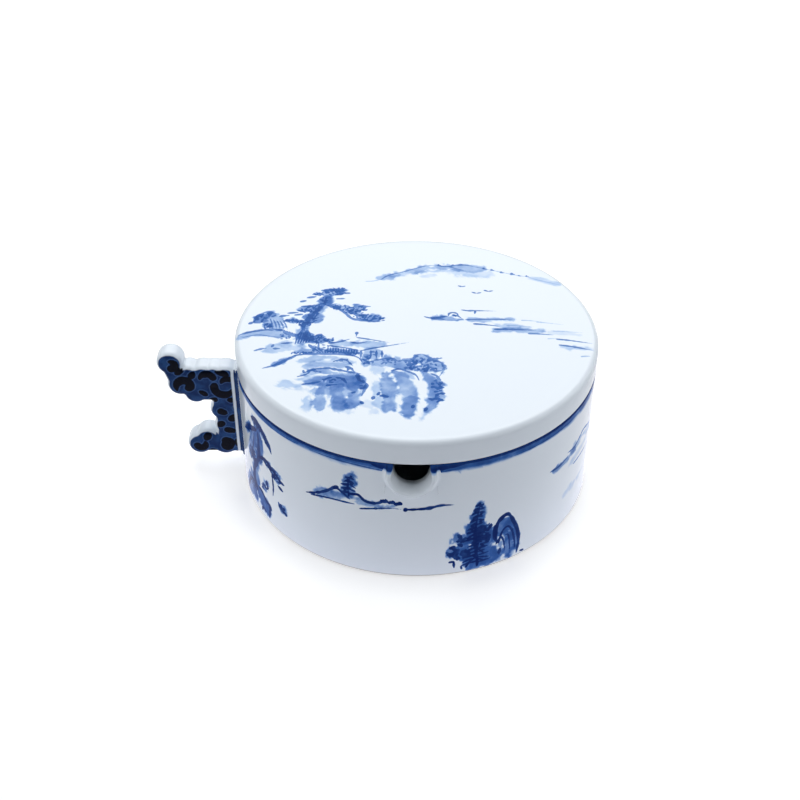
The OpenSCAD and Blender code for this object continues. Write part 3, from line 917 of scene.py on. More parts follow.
def across_path(path):
    """The direction to the right of each place on a path."""
    along = np.gradient(path, axis=0)
    along /= np.hypot(*along.T)[:, None]
    return np.stack([along[:, 1], -along[:, 0]], 1)


def arc(middle, radius, start, end, steps):
    """Places along an arc, from start to end in radians."""
    angles = np.linspace(start, end, steps + 1)
    return [(middle[0] + radius * math.cos(a), middle[1] + radius * math.sin(a)) for a in angles]


def evenly(start, end, step):
    """Places along a straight line, about step apart."""
    count = max(1, round(math.dist(start, end) / step))
    return [tuple(np.array(start) + (np.array(end) - start) * k / count) for k in range(count + 1)]


# ---------------------------------------------------------------- body


def unrolled(points):
    """Where points lie on the wall's painting: the distance round it, and up."""
    angle = np.arctan2(points[:, 0], -points[:, 1])
    return angle * RADIUS - ART_TURN * RADIUS, points[:, 2]


def rim_path(s, corner=1.1):
    """The rim's edge unrolled, with the notch dipped into it: places and the directions into the wall."""
    half, deep = s["notch_half"], s["notch_depth"]
    middle = RIM - deep + half
    reach = 14.0
    step = 0.8
    left = evenly((-reach, RIM), (-half - corner, RIM), step)
    left += arc((-half - corner, RIM - corner), corner, math.pi / 2, 0, 4)[1:]
    left += evenly((-half, RIM - corner), (-half, middle), step)[1:]
    left += arc((0, middle), half, math.pi, 1.5 * math.pi, 10)[1:]
    right = [(-x, z) for x, z in left[-2::-1]]
    path = np.array(left + right)
    return path, across_path(path), reach


def build_body():
    """Body: foot, wall, rim with its notch and floor, as one skin turned round the axis."""
    s = sizes()
    path, inward, reach = rim_path(s)
    rest = evenly((reach, RIM), (TAU * RADIUS - reach, RIM), 1.15)[1:-1]
    edge = np.vstack([path, rest, [(TAU * RADIUS - reach, RIM)]])
    into = np.vstack([inward, np.tile((0.0, -1.0), (len(rest) + 1, 1))])
    into[0] = into[len(path) - 1] = (0.0, -1.0)
    turn = s["rim_round"]
    low = 22.0
    lower = np.concatenate([np.linspace(-reach, reach, len(path)), edge[len(path):, 0]])
    rows_up = list(np.linspace(0, 1, 24))

    def wall_place(k, t):
        """A place on the unrolled wall: t runs from the level where columns part up to the rim's shoulder."""
        top = edge[k] + into[k] * turn
        foot = np.array((lower[k], low))
        p1, p2 = foot + (0, 7.0), top + into[k] * (3.0 if k < len(path) else 7.0)
        a = 1 - t
        return a**3 * foot + 3 * a * a * t * p1 + 3 * a * t * t * p2 + t**3 * top

    inner = RADIUS - s["wall"]
    foot_out = RADIUS - s["foot_round"]
    foot_in = foot_out - s["foot_width"]
    recess, fillet, floor = s["foot_recess"], s["floor_fillet"], s["floor"]
    under = evenly((0.0, recess), (foot_in - 1.2, recess), 9)
    under += arc((foot_in - 1.2, recess - 1.2), 1.2, math.pi / 2, 0, 3)[1:]
    under += [(foot_in, 0.3), (foot_in + 0.3, 0.0), (foot_out - 0.4, 0.0), (foot_out, 0.0)]
    under += arc((foot_out, s["foot_round"]), s["foot_round"], -math.pi / 2, 0, 4)[1:]
    under += evenly((RADIUS, s["foot_round"]), (RADIUS, low), 1.15)[1:-1]
    inside = evenly((inner, low), (inner, floor + fillet), 3)[1:]
    inside += arc((inner - fillet, floor + fillet), fillet, 0, -math.pi / 2, 6)[1:]
    inside += evenly((inner - fillet, floor), (0.0, floor), 8)[1:]
    quarter = [math.pi / 2 * k / 4 for k in range(1, 5)]

    rows = [("lathe", p) for p in under]
    rows += [("wall", (RADIUS, t)) for t in rows_up]
    rows += [("rim", (RADIUS - turn * (1 - math.cos(a)), turn * (1 - math.sin(a)))) for a in quarter]
    rows += [("rim", (inner + turn * (1 - math.cos(a)), turn * (1 - math.sin(a)))) for a in quarter[::-1]]
    rows += [("wall", (inner, t)) for t in rows_up[::-3]]
    rows += [("lathe", p) for p in inside]

    def place(column, row):
        kind, (first, second) = rows[row]
        if kind == "lathe":
            radius, along, z = first, lower[column], second
        elif kind == "wall":
            radius = first
            along, z = wall_place(column, second)
        else:
            radius = first
            along, z = edge[column] + into[column] * second
        angle = along / RADIUS - math.pi / 2
        return radius * math.cos(angle), radius * math.sin(angle), z

    bm = bmesh.new()
    grid_by_rule(bm, len(edge) - 1, len(rows) - 1, place)
    bmesh.ops.remove_doubles(bm, verts=bm.verts, dist=SEAM)
    canvas = wall_painting()

    def on_wall(points):
        return np.hypot(points[:, 0], points[:, 1]) > RADIUS - 0.5

    refine_painting(bm, canvas, on_wall, unrolled)
    for vert in bm.verts:
        flat = math.hypot(vert.co.x, vert.co.y)
        if abs(flat - RADIUS * MM) < 0.02 * MM:
            vert.co.x *= RADIUS * MM / flat
            vert.co.y *= RADIUS * MM / flat
    piece = finish_mesh(bm, "wall_and_floor", "body", "box", painted_porcelain())
    points = points_of(piece)
    radius = np.hypot(points[:, 0], points[:, 1])
    across, z = unrolled(points)
    mask = ease(radius, RADIUS - 1.2, RADIUS - 0.6)
    lay_painting(piece, canvas, across, np.minimum(z, RIM - 0.1), mask, 1.0, 0.7)
    seat = ease(z, RIM - 0.35, RIM - 0.1) * ease(radius, inner + 0.5, inner + 0.9)
    seat *= 1 - ease(radius, RADIUS - 0.9, RADIUS - 0.5)
    foot = (1 - ease(z, 0.7, 1.0)) * ease(radius, foot_in - 0.6, foot_in)
    set_layer(piece, "bare", np.maximum(seat, foot))
    # The layer named fired marks the foot's lower edge, where the box meets the table; the glaze shader draws
    # it in clay darkened to 40%.
    set_layer(piece, "fired", foot)


# ---------------------------------------------------------------- pouring lip


def build_pouring_lip():
    """Pouring lip: a small U of clay round the notch, whose outer side runs out softly onto the wall."""
    s = sizes()
    half, middle = s["notch_half"], RIM - s["notch_depth"] + s["notch_half"]
    thick = LIP_HALF - half
    legs = evenly((-half, RIM - 0.15), (-half, middle), 0.5)
    path = legs + arc((0, middle), half, math.pi, 1.5 * math.pi, 14)[1:]
    path = np.array(path + [(-x, z) for x, z in path[-2::-1]])
    outward = across_path(path)
    fall = math.tan(LIP_FALL)

    def section(reach, skirt):
        """One slice, as (away from the notch, out from the wall), starting inside the channel."""
        edge = min(0.6, 0.5 * reach + 0.12)
        flare = 0.14 * max(0.0, reach - edge)
        out = [(-0.04, -3.4), (-0.04, -1.2), (-0.02, 0.0), (flare, max(0.02, reach - edge))]
        out += arc((edge + flare, reach - edge), edge, math.pi, math.pi / 2, 5)[1:]
        out += arc((thick - edge + 0.05, reach - edge), edge, math.pi / 2, 0, 5)
        rise = max(0.05, reach - edge - skirt)
        out += [(thick + 0.05, 0.6 * rise + skirt)]
        out += arc((thick + 0.05 + skirt, skirt), skirt, math.pi, 1.5 * math.pi, 6)
        foot = thick + skirt
        return out + [(foot + 1.0, -0.05), (foot + 1.4, -0.4), (foot + 0.3, -1.6), (0.6, -3.4)]

    slices = []
    for x, z in path:
        reach = min(LIP_REACH, max(0.0, (RIM - z) / fall))
        reach = max(0.16, LIP_REACH * ease(reach / LIP_REACH, -0.15, 1.15))
        slices.append(section(reach, 0.4 + 0.5 * reach))
    loop = len(slices[0])

    def place(column, row):
        away, out = slices[column][row % loop]
        flat = path[column] + outward[column] * away
        angle = flat[0] / RADIUS - math.pi / 2
        z = min(flat[1], RIM - 0.05)
        return (RADIUS + out) * math.cos(angle), (RADIUS + out) * math.sin(angle), z

    bm = bmesh.new()
    grid_by_rule(bm, len(path) - 1, loop, place)
    bmesh.ops.remove_doubles(bm, verts=bm.verts, dist=0.002 * MM)
    bmesh.ops.holes_fill(bm, edges=[edge for edge in bm.edges if edge.is_boundary], sides=0)
    piece = finish_mesh(bm, "lip", "pouring_lip", "box", painted_porcelain())
    points = points_of(piece)
    across, z = unrolled(points)
    shoulder = ease(z, RIM - 2.6, RIM - 1.4)
    lay_painting(piece, wall_painting(), across, np.minimum(z, RIM - 0.1), shoulder, 1.0, 0.7)


# ---------------------------------------------------------------- lid


def disc_place(u, v):
    """A place on the unit disc for a place on the square from -1 to 1, with even spacing."""
    if u == 0 and v == 0:
        return 0.0, 0.0
    if abs(u) > abs(v):
        radius, angle = u, math.pi / 4 * v / u
    else:
        radius, angle = v, math.pi / 2 - math.pi / 4 * u / v
    return radius * math.cos(angle), radius * math.sin(angle)


def build_lid():
    """Lid: a fine disc on top, whose outer edge is carried round the rim and in underneath."""
    s = sizes()
    soft, plate = s["lid_round"], s["lid_plate"]
    ring_in = RING_OUT - s["ring_wall"]
    cells = 118
    flat = RADIUS - soft
    bm = bmesh.new()

    def place(column, row):
        x, y = disc_place(2 * column / cells - 1, 2 * row / cells - 1)
        return x * flat, y * flat, LID_TOP

    grid_by_rule(bm, cells, cells, place)
    under = LID_TOP - plate
    profile = arc((flat, LID_TOP - soft), soft, math.pi / 2, 0, 7)[1:]
    lower = LID_UNDER_ROUND
    profile += evenly((RADIUS, LID_TOP - soft), (RADIUS, RIM + lower), 1.3)[1:]
    profile += arc((RADIUS - lower, RIM + lower), lower, 0, -math.pi / 2, 4)[1:]
    profile += evenly((RADIUS - lower, RIM), (ring_in, RIM), 2.0)[1:]
    profile += evenly((ring_in, RIM), (ring_in, under - 1.2), 1.2)[1:]
    profile += arc((ring_in - 1.2, under - 1.2), 1.2, 0, math.pi / 2, 3)[1:]
    profile += evenly((ring_in - 1.2, under), (1.0, under), 7.0)[1:]
    rim = [edge for edge in bm.edges if edge.is_boundary]
    for radius, z in profile:
        made = bmesh.ops.extrude_edge_only(bm, edges=rim)["geom"]
        for vert in (item for item in made if isinstance(item, bmesh.types.BMVert)):
            place_out = Vector((vert.co.x, vert.co.y)).normalized() * radius * MM
            vert.co = (place_out.x, place_out.y, z * MM)
        rim = [item for item in made if isinstance(item, bmesh.types.BMEdge) and item.is_boundary]
    last = list({vert for edge in rim for vert in edge.verts})
    bmesh.ops.pointmerge(bm, verts=last, merge_co=(0, 0, under * MM))

    canvas = lid_painting()
    turn = Matrix.Rotation(-ART_TURN, 2)

    def squared(points):
        x, y = points[:, 0], points[:, 1]
        return x * turn[0][0] + y * turn[0][1], x * turn[1][0] + y * turn[1][1]

    def on_top(points):
        return points[:, 2] > LID_TOP - 0.3

    refine_painting(bm, canvas, on_top, squared)
    piece = finish_mesh(bm, "lid_disc", "lid", "lid", painted_porcelain())
    points = points_of(piece)
    z = points[:, 2]
    lay_painting(piece, canvas, *squared(points), ease(z, LID_TOP - 1.2, LID_TOP - 0.6), 0.52, 0.55)
    radius = np.hypot(points[:, 0], points[:, 1])
    set_layer(piece, "bare", (1 - ease(z, RIM + 0.1, RIM + 0.35)) * ease(radius, ring_in, ring_in + 0.5))


def build_locating_ring():
    """Locating ring: a turned ring of bare clay under the lid."""
    s = sizes()
    inner, soft = RING_OUT - s["ring_wall"], s["rim_round"]
    top = RIM + 0.02
    profile = [(inner, top), (inner, RING_FOOT + soft)]
    profile += arc((inner + soft, RING_FOOT + soft), soft, math.pi, 1.5 * math.pi, 5)[1:]
    profile += arc((RING_OUT - soft, RING_FOOT + soft), soft, -math.pi / 2, 0, 5)
    profile += [(RING_OUT, top), (inner, top)]
    bm = bmesh.new()
    verts = [bm.verts.new((radius * MM, 0, z * MM)) for radius, z in profile[:-1]]
    edges = [bm.edges.new((a, b)) for a, b in zip(verts, verts[1:] + verts[:1])]
    bmesh.ops.spin(
        bm, geom=verts + edges, cent=(0, 0, 0), axis=(0, 0, 1), angle=TAU, steps=256, use_merge=True,
        use_normal_flip=False, use_duplicate=False, dvec=(0, 0, 0), space=Matrix.Identity(4),
    )
    finish_mesh(bm, "ring", "locating_ring", "lid", bare_porcelain())


# ---------------------------------------------------------------- handle

# The cloud's round lobes, each (out from the wall, up from the handle's foot, radius), as in the frame.
LOBES = (
    (22.9, 38.8, 4.5), (20.1, 30.2, 4.5), (15.2, 26.7, 4.2), (12.2, 32.6, 5.1), (4.6, 32.8, 4.9),
    (6.6, 26.8, 4.8), (6.7, 19.6, 4.3), (5.8, 13.2, 4.1), (6.9, 4.8, 4.8), (12.8, 6.7, 4.3), (15.7, 4.5, 4.4),
    (17.0, 33.9, 3.8), (8.4, 33.2, 4.5),
)
WEBS = ((0, 1), (1, 3), (2, 3), (3, 4), (2, 5), (4, 5), (5, 6), (6, 7), (7, 8), (8, 10))


def round_faces(bm, verts, bevel, segments):
    """Rounds the edges of a new block's two side faces, and gives back the block's points."""
    edges = {edge for vert in verts for edge in vert.link_edges}
    edges = [edge for edge in edges if abs(edge.verts[0].co.y - edge.verts[1].co.y) < 0.001 * MM]
    rounded = bmesh.ops.bevel(
        bm, geom=edges, offset=bevel * MM, segments=segments, profile=0.5, affect="EDGES", material=-1
    )
    return list(set(rounded["verts"]) | {vert for vert in verts if vert.is_valid})


def add_block(bm, length, thick, height, turn, middle, bevel):
    """A block with rounded edges, turned in the handle's plane."""
    verts = bmesh.ops.create_cube(bm, size=1.0)["verts"]
    bmesh.ops.scale(bm, verts=verts, vec=(length * MM, thick * MM, height * MM))
    group = round_faces(bm, verts, bevel, 4)
    bmesh.ops.rotate(bm, verts=group, cent=(0, 0, 0), matrix=Matrix.Rotation(-turn, 3, "Y"))
    bmesh.ops.translate(bm, verts=group, vec=Vector(middle) * MM)


def add_disc(bm, radius, thick, middle, bevel):
    """A round lobe with rounded edges."""
    made = bmesh.ops.create_cone(
        bm, cap_ends=True, segments=40, radius1=radius * MM, radius2=radius * MM, depth=thick * MM,
        matrix=Matrix.Rotation(math.pi / 2, 4, "X"),
    )
    group = round_faces(bm, made["verts"], bevel, 5)
    bmesh.ops.translate(bm, verts=group, vec=Vector(middle) * MM)


def build_handle():
    """Handle: round lobes and webs melted into one cast cloud, with the slip that luted it to the wall."""
    s = sizes()
    bevel = s["handle_round"]
    bm = bmesh.new()
    places = [(-(RADIUS + out), HANDLE_FOOT + up, radius) for out, up, radius in LOBES]
    for x, z, radius in places:
        add_disc(bm, radius, HANDLE_THICK, (x, 0, z), bevel)
    for a, b in WEBS:
        (xa, za, ra), (xb, zb, rb) = places[a], places[b]
        length = math.hypot(xb - xa, zb - za)
        turn = math.atan2(zb - za, xb - xa)
        middle = ((xa + xb) / 2, 0, (za + zb) / 2)
        add_block(bm, length, HANDLE_THICK, 1.6 * min(ra, rb), turn, middle, bevel)
    top, bottom = places[4][1] + 0.8 * places[4][2], places[8][1] - 0.8 * places[8][2]
    level = (top + bottom) / 2
    stem = -places[7][0] - RADIUS + 2.5
    add_block(bm, stem, HANDLE_THICK, top - bottom, 0.0, (-RADIUS + 2.5 - stem / 2, 0, level), bevel)
    slip = 3.3
    slip_middle = (-RADIUS - 0.75 + slip / 2, 0, level)
    add_block(bm, slip, HANDLE_THICK + 1.5, top - bottom + 1.2, 0.0, slip_middle, 0.7)
    draft = object_from(bm, "handle_draft")
    draft_mesh = draft.data
    melt = draft.modifiers.new("melt", "REMESH")
    melt.mode = "VOXEL"
    melt.voxel_size = 0.27 * MM
    melt.adaptivity = 0.0
    even = draft.modifiers.new("even", "SMOOTH")
    even.factor = 0.5
    even.iterations = 14
    bpy.context.view_layer.update()
    graph = bpy.context.evaluated_depsgraph_get()
    bm = bmesh.new()
    bm.from_object(draft, graph)
    bpy.data.objects.remove(draft)
    bpy.data.meshes.remove(draft_mesh)

    canvas = handle_painting()
    bm.normal_update()
    points = np.array([vert.co for vert in bm.verts]) / MM
    normals = np.array([vert.normal for vert in bm.verts])
    scroll = canvas.sample(canvas.line, -points[:, 0], points[:, 2])
    out, facing = -points[:, 0], np.abs(normals[:, 1])
    side = ease(facing, 0.6, 0.93) * ease(out, RADIUS + 2.2, RADIUS + 2.7)
    border = ease(facing, 0.3, 0.6) * (1 - ease(out, RADIUS + 1.3, RADIUS + 1.7))
    relief = side * (0.14 * ease(scroll, 0.05, 0.35) - 0.3 * ease(scroll, 0.35, 0.7))
    turn = Matrix.Rotation(HANDLE_TURN, 3, "Z")
    for vert, lift, normal in zip(bm.verts, relief, normals):
        vert.co.y += math.copysign(lift * MM, normal[1])
        vert.co = turn @ vert.co
    piece = finish_mesh(bm, "cloud_handle", "handle", "box", cobalt_porcelain())
    if len(piece.data.vertices) != len(points):
        raise RuntimeError("the handle's skin lost points after it was painted")
    set_layer(piece, "scroll", scroll * side)
    set_layer(piece, "ground", np.maximum(side, border))


# ---------------------------------------------------------------- glaze and clay materials


class Flow:
    """A shader output that takes part in Python arithmetic, each step adding its Math node."""

    def __init__(self, tree, socket):
        self.tree = tree
        self.socket = socket

    def _math(self, operation, first, second):
        node = self.tree.nodes.new("ShaderNodeMath")
        node.operation = operation
        for socket, value in zip(node.inputs, (first, second)):
            if isinstance(value, Flow):
                self.tree.links.new(value.socket, socket)
            else:
                socket.default_value = value
        return Flow(self.tree, node.outputs[0])

    def __add__(self, other):
        return self._math("ADD", self, other)

    def __radd__(self, other):
        return self._math("ADD", other, self)

    def __sub__(self, other):
        return self._math("SUBTRACT", self, other)

    def __rsub__(self, other):
        return self._math("SUBTRACT", other, self)

    def __mul__(self, other):
        return self._math("MULTIPLY", self, other)

    def __rmul__(self, other):
        return self._math("MULTIPLY", other, self)

    def over(self, low, high):
        """0 below low, 1 above high and smooth between."""
        node = self.tree.nodes.new("ShaderNodeMapRange")
        node.interpolation_type = "SMOOTHSTEP"
        self.tree.links.new(self.socket, node.inputs["Value"])
        node.inputs["From Min"].default_value = low
        node.inputs["From Max"].default_value = high
        return Flow(self.tree, node.outputs["Result"])


class Finish:
    """A material being made: its nodes, its shader and short ways to add to them."""

    def __init__(self, name, roughness):
        self.material = bpy.data.materials.new(name)
        self.material.use_nodes = True
        self.tree = self.material.node_tree
        self.tree.nodes.clear()
        self.shader = self.tree.nodes.new("ShaderNodeBsdfPrincipled")
        out = self.tree.nodes.new("ShaderNodeOutputMaterial")
        self.tree.links.new(self.shader.outputs["BSDF"], out.inputs["Surface"])
        self.fix("Roughness", roughness)
        self.fix("IOR", 1.5)

    def node(self, kind, settings=None, sockets=None, ramp=None):
        """A node of that kind, with its settings, its ramp's stops and its sockets' values or links."""
        node = self.tree.nodes.new(kind)
        for name, value in (settings or {}).items():
            setattr(node, name, value)
        if ramp:
            elements = node.color_ramp.elements
            while len(elements) < len(ramp):
                elements.new(0.5)
            for element, (position, colour) in zip(elements, ramp):
                element.position = position
                element.color = colour
        for name, value in (sockets or {}).items():
            if isinstance(value, Flow):
                self.tree.links.new(value.socket, node.inputs[name])
            else:
                node.inputs[name].default_value = value
        return node

    def flow(self, node, output=0):
        """A node's output, ready for arithmetic."""
        return Flow(self.tree, node.outputs[output])

    def layer(self, name):
        """A number stored on the piece's points."""
        return self.flow(self.node("ShaderNodeAttribute", {"attribute_name": name}), "Fac")

    def noise(self, scale, detail=3.0, roughness=0.5):
        """Noise over the piece, with blobs about one over scale metres wide."""
        where = self.flow(self.node("ShaderNodeTexCoord"), "Object")
        sockets = {"Vector": where, "Scale": scale, "Detail": detail, "Roughness": roughness}
        return self.flow(self.node("ShaderNodeTexNoise", None, sockets), "Fac")

    def mix(self, share, first, second):
        """The first colour where share is 0 and the second where it is 1."""
        node = self.node("ShaderNodeMix", {"data_type": "RGBA"})
        for index, value in ((0, share), (6, first), (7, second)):
            if isinstance(value, Flow):
                self.tree.links.new(value.socket, node.inputs[index])
            else:
                node.inputs[index].default_value = value
        return Flow(self.tree, node.outputs[2])

    def feed(self, name, value):
        """Sends a flow to one of the shader's sockets."""
        self.tree.links.new(value.socket, self.shader.inputs[name])

    def fix(self, name, value):
        """Sets one of the shader's sockets to a constant."""
        self.shader.inputs[name].default_value = value

    def bump(self, height, distance, strength=1.0):
        """Shapes the surface's shine with a height, in metres."""
        sockets = {"Height": height, "Distance": distance, "Strength": strength}
        self.feed("Normal", self.flow(self.node("ShaderNodeBump", None, sockets)))


def glaze_skin(finish, coat_roughness):
    """The faint waviness of a fired glaze, whose gloss is its coat's."""
    finish.fix("Coat Roughness", coat_roughness)
    finish.fix("Specular IOR Level", 0.03)
    finish.bump(finish.noise(130, 2.0), 0.06 * MM)
    return finish.material


def darkened(colour, share):
    """A colour with its light cut to a share."""
    return (*(share * part for part in colour[:3]), 1.0)


def painted_porcelain():
    """Clear glaze over brushed cobalt on white, and bare clay where the pieces rest."""
    known = bpy.data.materials.get("brushed_glaze")
    if known:
        return known
    tint = colours()
    finish = Finish("brushed_glaze", 0.1)
    fine = finish.noise(2600, 4.0, 0.6)
    broad = finish.noise(420, 3.0)
    line = finish.layer("line") + (fine - 0.5) * 0.34
    inked = line.over(0.36, 0.62) * finish.layer("load") * (0.86 + 0.3 * broad)
    washed = finish.layer("wash") * (0.62 + 0.55 * broad + 0.22 * fine)
    cobalt = 1 - (1 - inked) * (1 - washed)
    ramp = [
        (0.0, tint["glaze"]), (0.115, tint["pale"]), (0.3, tint["middle"]), (0.54, tint["deep"]),
        (1.0, tint["black"]),
    ]
    painted = finish.flow(finish.node("ShaderNodeValToRGB", None, {"Fac": cobalt}, ramp), "Color")
    bare = finish.layer("bare")
    # Clay darkened to 40% along the foot's lower edge, where the box meets the table.
    clay = finish.mix(finish.layer("fired"), tint["clay"], darkened(tint["clay"], 0.4))
    finish.feed("Base Color", finish.mix(bare, painted, clay))
    finish.feed("Coat Weight", 0.6 - 0.6 * (cobalt + bare).over(0.0, 0.5))
    finish.feed("Roughness", 0.07 + 0.06 * broad + 0.5 * bare)
    return glaze_skin(finish, 0.08)


def cobalt_porcelain():
    """Clear glaze over a cobalt ground with dark scrolls and their pale outlines."""
    tint = colours()
    finish = Finish("cobalt_glaze", 0.1)
    fine = finish.noise(1800, 4.0, 0.6)
    broad = finish.noise(330, 3.0)
    scroll = finish.layer("scroll") + (fine - 0.5) * 0.12
    ground_share = (finish.layer("ground") + (broad - 0.5) * 0.6).over(0.2, 0.8)
    ground_low, ground_high = (0.007, 0.028, 0.115, 1.0), (0.02, 0.07, 0.215, 1.0)
    ground = finish.mix(broad.over(0.3, 0.7), ground_low, ground_high)
    outline = scroll.over(0.1, 0.24) * (1 - scroll.over(0.28, 0.4))
    ground = finish.mix(outline * 0.5, ground, (0.09, 0.18, 0.38, 1.0))
    ground = finish.mix(scroll.over(0.36, 0.5), ground, (0.002, 0.003, 0.01, 1.0))
    glaze = finish.mix(broad.over(0.4, 0.8) * 0.4, tint["glaze"], (0.76, 0.82, 0.9, 1.0))
    finish.feed("Base Color", finish.mix(ground_share, glaze, ground))
    finish.feed("Coat Weight", 0.6 - 0.5 * ground_share)
    finish.feed("Roughness", 0.08 + 0.08 * broad)
    return glaze_skin(finish, 0.1)


def bare_porcelain():
    """Unglazed clay, matt and faintly speckled."""
    tint = colours()
    finish = Finish("bare_clay", 0.6)
    speck = finish.noise(3000, 5.0, 0.7)
    finish.feed("Base Color", finish.mix(speck.over(0.55, 0.8), tint["clay"], darkened(tint["clay"], 0.8)))
    finish.feed("Roughness", 0.52 + 0.2 * speck)
    finish.bump(speck, 0.05 * MM)
    return finish.material


# ---------------------------------------------------------------- stage


# The table's glow: its tint, then (metres from the box's axis, level).
GLOW_REACH = 2.0
TABLE_GLOW = ((0.96, 0.94, 1.06), ((0.06, 0.68), (0.08, 0.46), (0.12, 0.1), (2.0, 0.1)))
# What the camera sees of the table: a painted glow, brighter close round the box's foot where it lightens the
# shadow, dimmer beyond and rising to white far off.
TABLE_SEEN_PAINTED_GLOW = (
    (1.0, 1.0, 1.0),
    (
        (0.061, 0.5), (0.066, 0.58), (0.072, 0.63), (0.085, 0.6), (0.11, 0.47), (0.2, 0.46), (0.45, 0.8),
        (2.0, 1.3),
    ),
)
# Each light's name, place, width, height and power, in metres and watts.
SOFTBOXES = (
    ("top_light", (0.0, 0.2, 0.85), 1.0, 1.0, 5.5),
    ("back_light", (0.0, 0.75, 0.8), 1.2, 0.8, 5.2),
    ("left_light", (-0.95, 0.15, 0.35), 0.9, 0.7, 1.5),
    ("right_light", (0.95, 0.15, 0.35), 0.9, 0.7, 1.7),
    ("left_front_light", (-0.8, -0.5, 0.45), 0.7, 0.6, 2.0),
    ("right_front_light", (0.8, -0.5, 0.45), 0.7, 0.6, 1.6),
)


def glow_stops(tint, levels):
    """A ramp's stops for rings of glow round the box."""
    return [(at / GLOW_REACH, (*(part * level for part in tint), 1.0)) for at, level in levels]


def add_softbox(name, place, width, height, power, target=(0, 0, 0.03)):
    """A square light that looks at the box."""
    light = bpy.data.lights.new(name, "AREA")
    light.shape = "RECTANGLE"
    light.size, light.size_y = width, height
    light.energy = power
    lamp = bpy.data.objects.new(name, light)
    bpy.context.scene.collection.objects.link(lamp)
    lamp.location = place
    lamp.rotation_euler = (Vector(target) - Vector(place)).to_track_quat("-Z", "Y").to_euler()


def build_stage():
    """Floor, soft lights and the camera."""
    bm = bmesh.new()
    bmesh.ops.create_grid(bm, x_segments=8, y_segments=8, size=3.0)
    table = object_from(bm, "table")
    paper = Finish("white_paper_painted_glow", 0.7)
    grain = paper.noise(900, 2.0)
    paper.feed("Base Color", paper.mix(grain, (0.61, 0.61, 0.61, 1.0), (0.63, 0.63, 0.63, 1.0)))
    # The table glows round the box and lights it from below, strongest at its foot. The camera sees another
    # painted glow instead of plain paper: brighter close round the box's foot, where it lightens the shadow
    # there, dimmer beyond, and rising to white far off.
    where = paper.flow(paper.node("ShaderNodeTexCoord"), "Object")
    away = paper.flow(paper.node("ShaderNodeVectorMath", {"operation": "LENGTH"}, {0: where}), "Value")
    share = away * (1 / GLOW_REACH)
    lit, seen_painted_glow = (
        paper.flow(paper.node("ShaderNodeValToRGB", None, {"Fac": share}, glow_stops(*glow)), "Color")
        for glow in (TABLE_GLOW, TABLE_SEEN_PAINTED_GLOW)
    )
    camera_ray = paper.flow(paper.node("ShaderNodeLightPath"), "Is Camera Ray")
    paper.feed("Emission Color", paper.mix(camera_ray, lit, seen_painted_glow))
    paper.fix("Emission Strength", 1.0)
    table.data.materials.append(paper.material)

    world = bpy.data.worlds.new("studio")
    bpy.context.scene.world = world
    world.use_nodes = True
    nodes, links = world.node_tree.nodes, world.node_tree.links
    room = nodes["Background"]
    room.inputs["Color"].default_value = (0.02, 0.035, 0.06, 1.0)
    seen = nodes.new("ShaderNodeBackground")
    seen.inputs["Color"].default_value = (0.95, 0.97, 1.0, 1.0)
    choice = nodes.new("ShaderNodeMixShader")
    links.new(nodes.new("ShaderNodeLightPath").outputs["Is Camera Ray"], choice.inputs[0])
    links.new(room.outputs[0], choice.inputs[1])
    links.new(seen.outputs[0], choice.inputs[2])
    links.new(choice.outputs[0], nodes["World Output"].inputs["Surface"])
    for softbox in SOFTBOXES:
        add_softbox(*softbox)

    lens = bpy.data.cameras.new("camera")
    lens.sensor_width = 36.0
    lens.lens = 56.0
    lens.clip_start = 0.01
    camera = bpy.data.objects.new("camera", lens)
    bpy.context.scene.collection.objects.link(camera)
    camera.location = (0.00599, -0.34312, 0.28403)
    forward = Vector((-0.0265, 0.7984, -0.6015))
    camera.rotation_euler = forward.to_track_quat("-Z", "Y").to_euler()
    bpy.context.scene.camera = camera
    bpy.context.scene.view_settings.view_transform = "Standard"


# ---------------------------------------------------------------- operators and panel


class Building:
    """What the operators share: each runs its own building steps."""

    steps = ()

    def execute(self, context):
        for step in self.steps:
            step()
        return {"FINISHED"}


class PORCELAIN_OT_stage(Building, bpy.types.Operator):
    """Lay the table and place the lights and the camera"""

    bl_idname = "porcelain.stage"
    bl_label = "Stage"
    steps = (build_stage,)


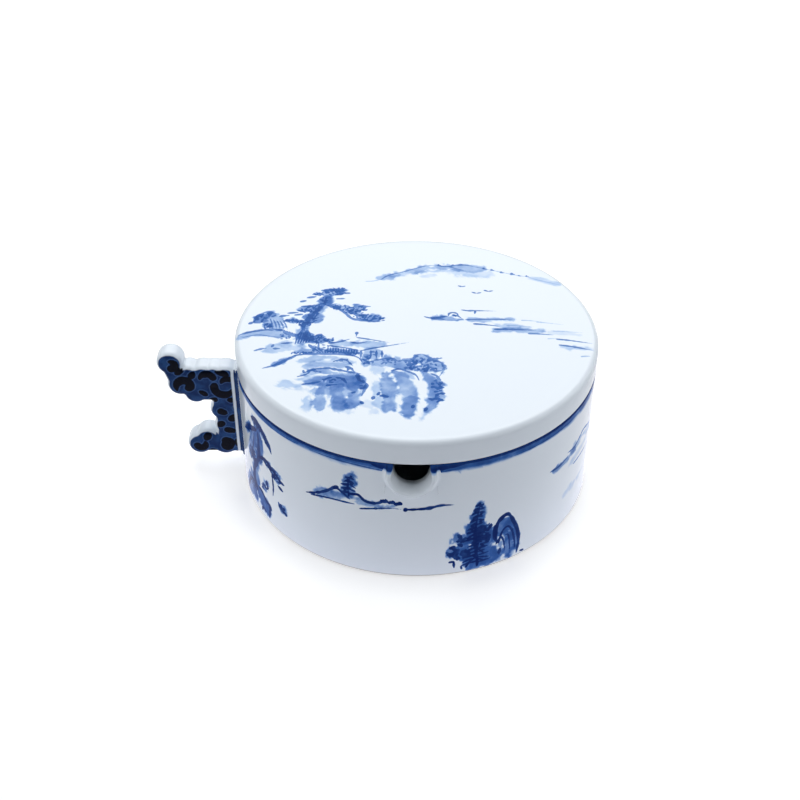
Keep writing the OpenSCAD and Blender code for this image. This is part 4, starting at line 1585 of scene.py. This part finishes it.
class PORCELAIN_OT_body(Building, bpy.types.Operator):
    """Build the body with its notch, and paint its wall"""

    bl_idname = "porcelain.body"
    bl_label = "Body"
    steps = (build_body,)


class PORCELAIN_OT_pouring_lip(Building, bpy.types.Operator):
    """Build the lip round the notch"""

    bl_idname = "porcelain.pouring_lip"
    bl_label = "Pouring lip"
    steps = (build_pouring_lip,)


class PORCELAIN_OT_handle(Building, bpy.types.Operator):
    """Build the cloud handle and paint its scrolls"""

    bl_idname = "porcelain.handle"
    bl_label = "Handle"
    steps = (build_handle,)


class PORCELAIN_OT_lid(Building, bpy.types.Operator):
    """Build the lid with its locating ring, and paint its landscape"""

    bl_idname = "porcelain.lid"
    bl_label = "Lid"
    steps = (build_lid, build_locating_ring)


class PORCELAIN_PT_panel(bpy.types.Panel):
    """Sizes, colours and the pieces to build"""

    bl_idname = "PORCELAIN_PT_panel"
    bl_label = "Porcelain box"
    bl_space_type = "VIEW_3D"
    bl_region_type = "UI"
    bl_category = "Porcelain box"

    def draw(self, context):
        for group in (context.scene.porcelain_sizes, context.scene.porcelain_colours):
            column = self.layout.column()
            for name in type(group).__annotations__:
                column.prop(group, name)
        for operator in OPERATORS:
            self.layout.operator(operator.bl_idname)


OPERATORS = (
    PORCELAIN_OT_stage,
    PORCELAIN_OT_body,
    PORCELAIN_OT_pouring_lip,
    PORCELAIN_OT_handle,
    PORCELAIN_OT_lid,
)
CLASSES = (PorcelainSizes, PorcelainColours, *OPERATORS, PORCELAIN_PT_panel)


def register():
    for cls in CLASSES:
        bpy.utils.register_class(cls)
    bpy.types.Scene.porcelain_sizes = PointerProperty(type=PorcelainSizes)
    bpy.types.Scene.porcelain_colours = PointerProperty(type=PorcelainColours)


def unregister():
    del bpy.types.Scene.porcelain_colours
    del bpy.types.Scene.porcelain_sizes
    for cls in reversed(CLASSES):
        bpy.utils.unregister_class(cls)


def main():
    register()
    bpy.ops.porcelain.stage()
    bpy.ops.porcelain.body()
    bpy.ops.porcelain.pouring_lip()
    bpy.ops.porcelain.handle()
    bpy.ops.porcelain.lid()


if __name__ == "__main__":
    main()
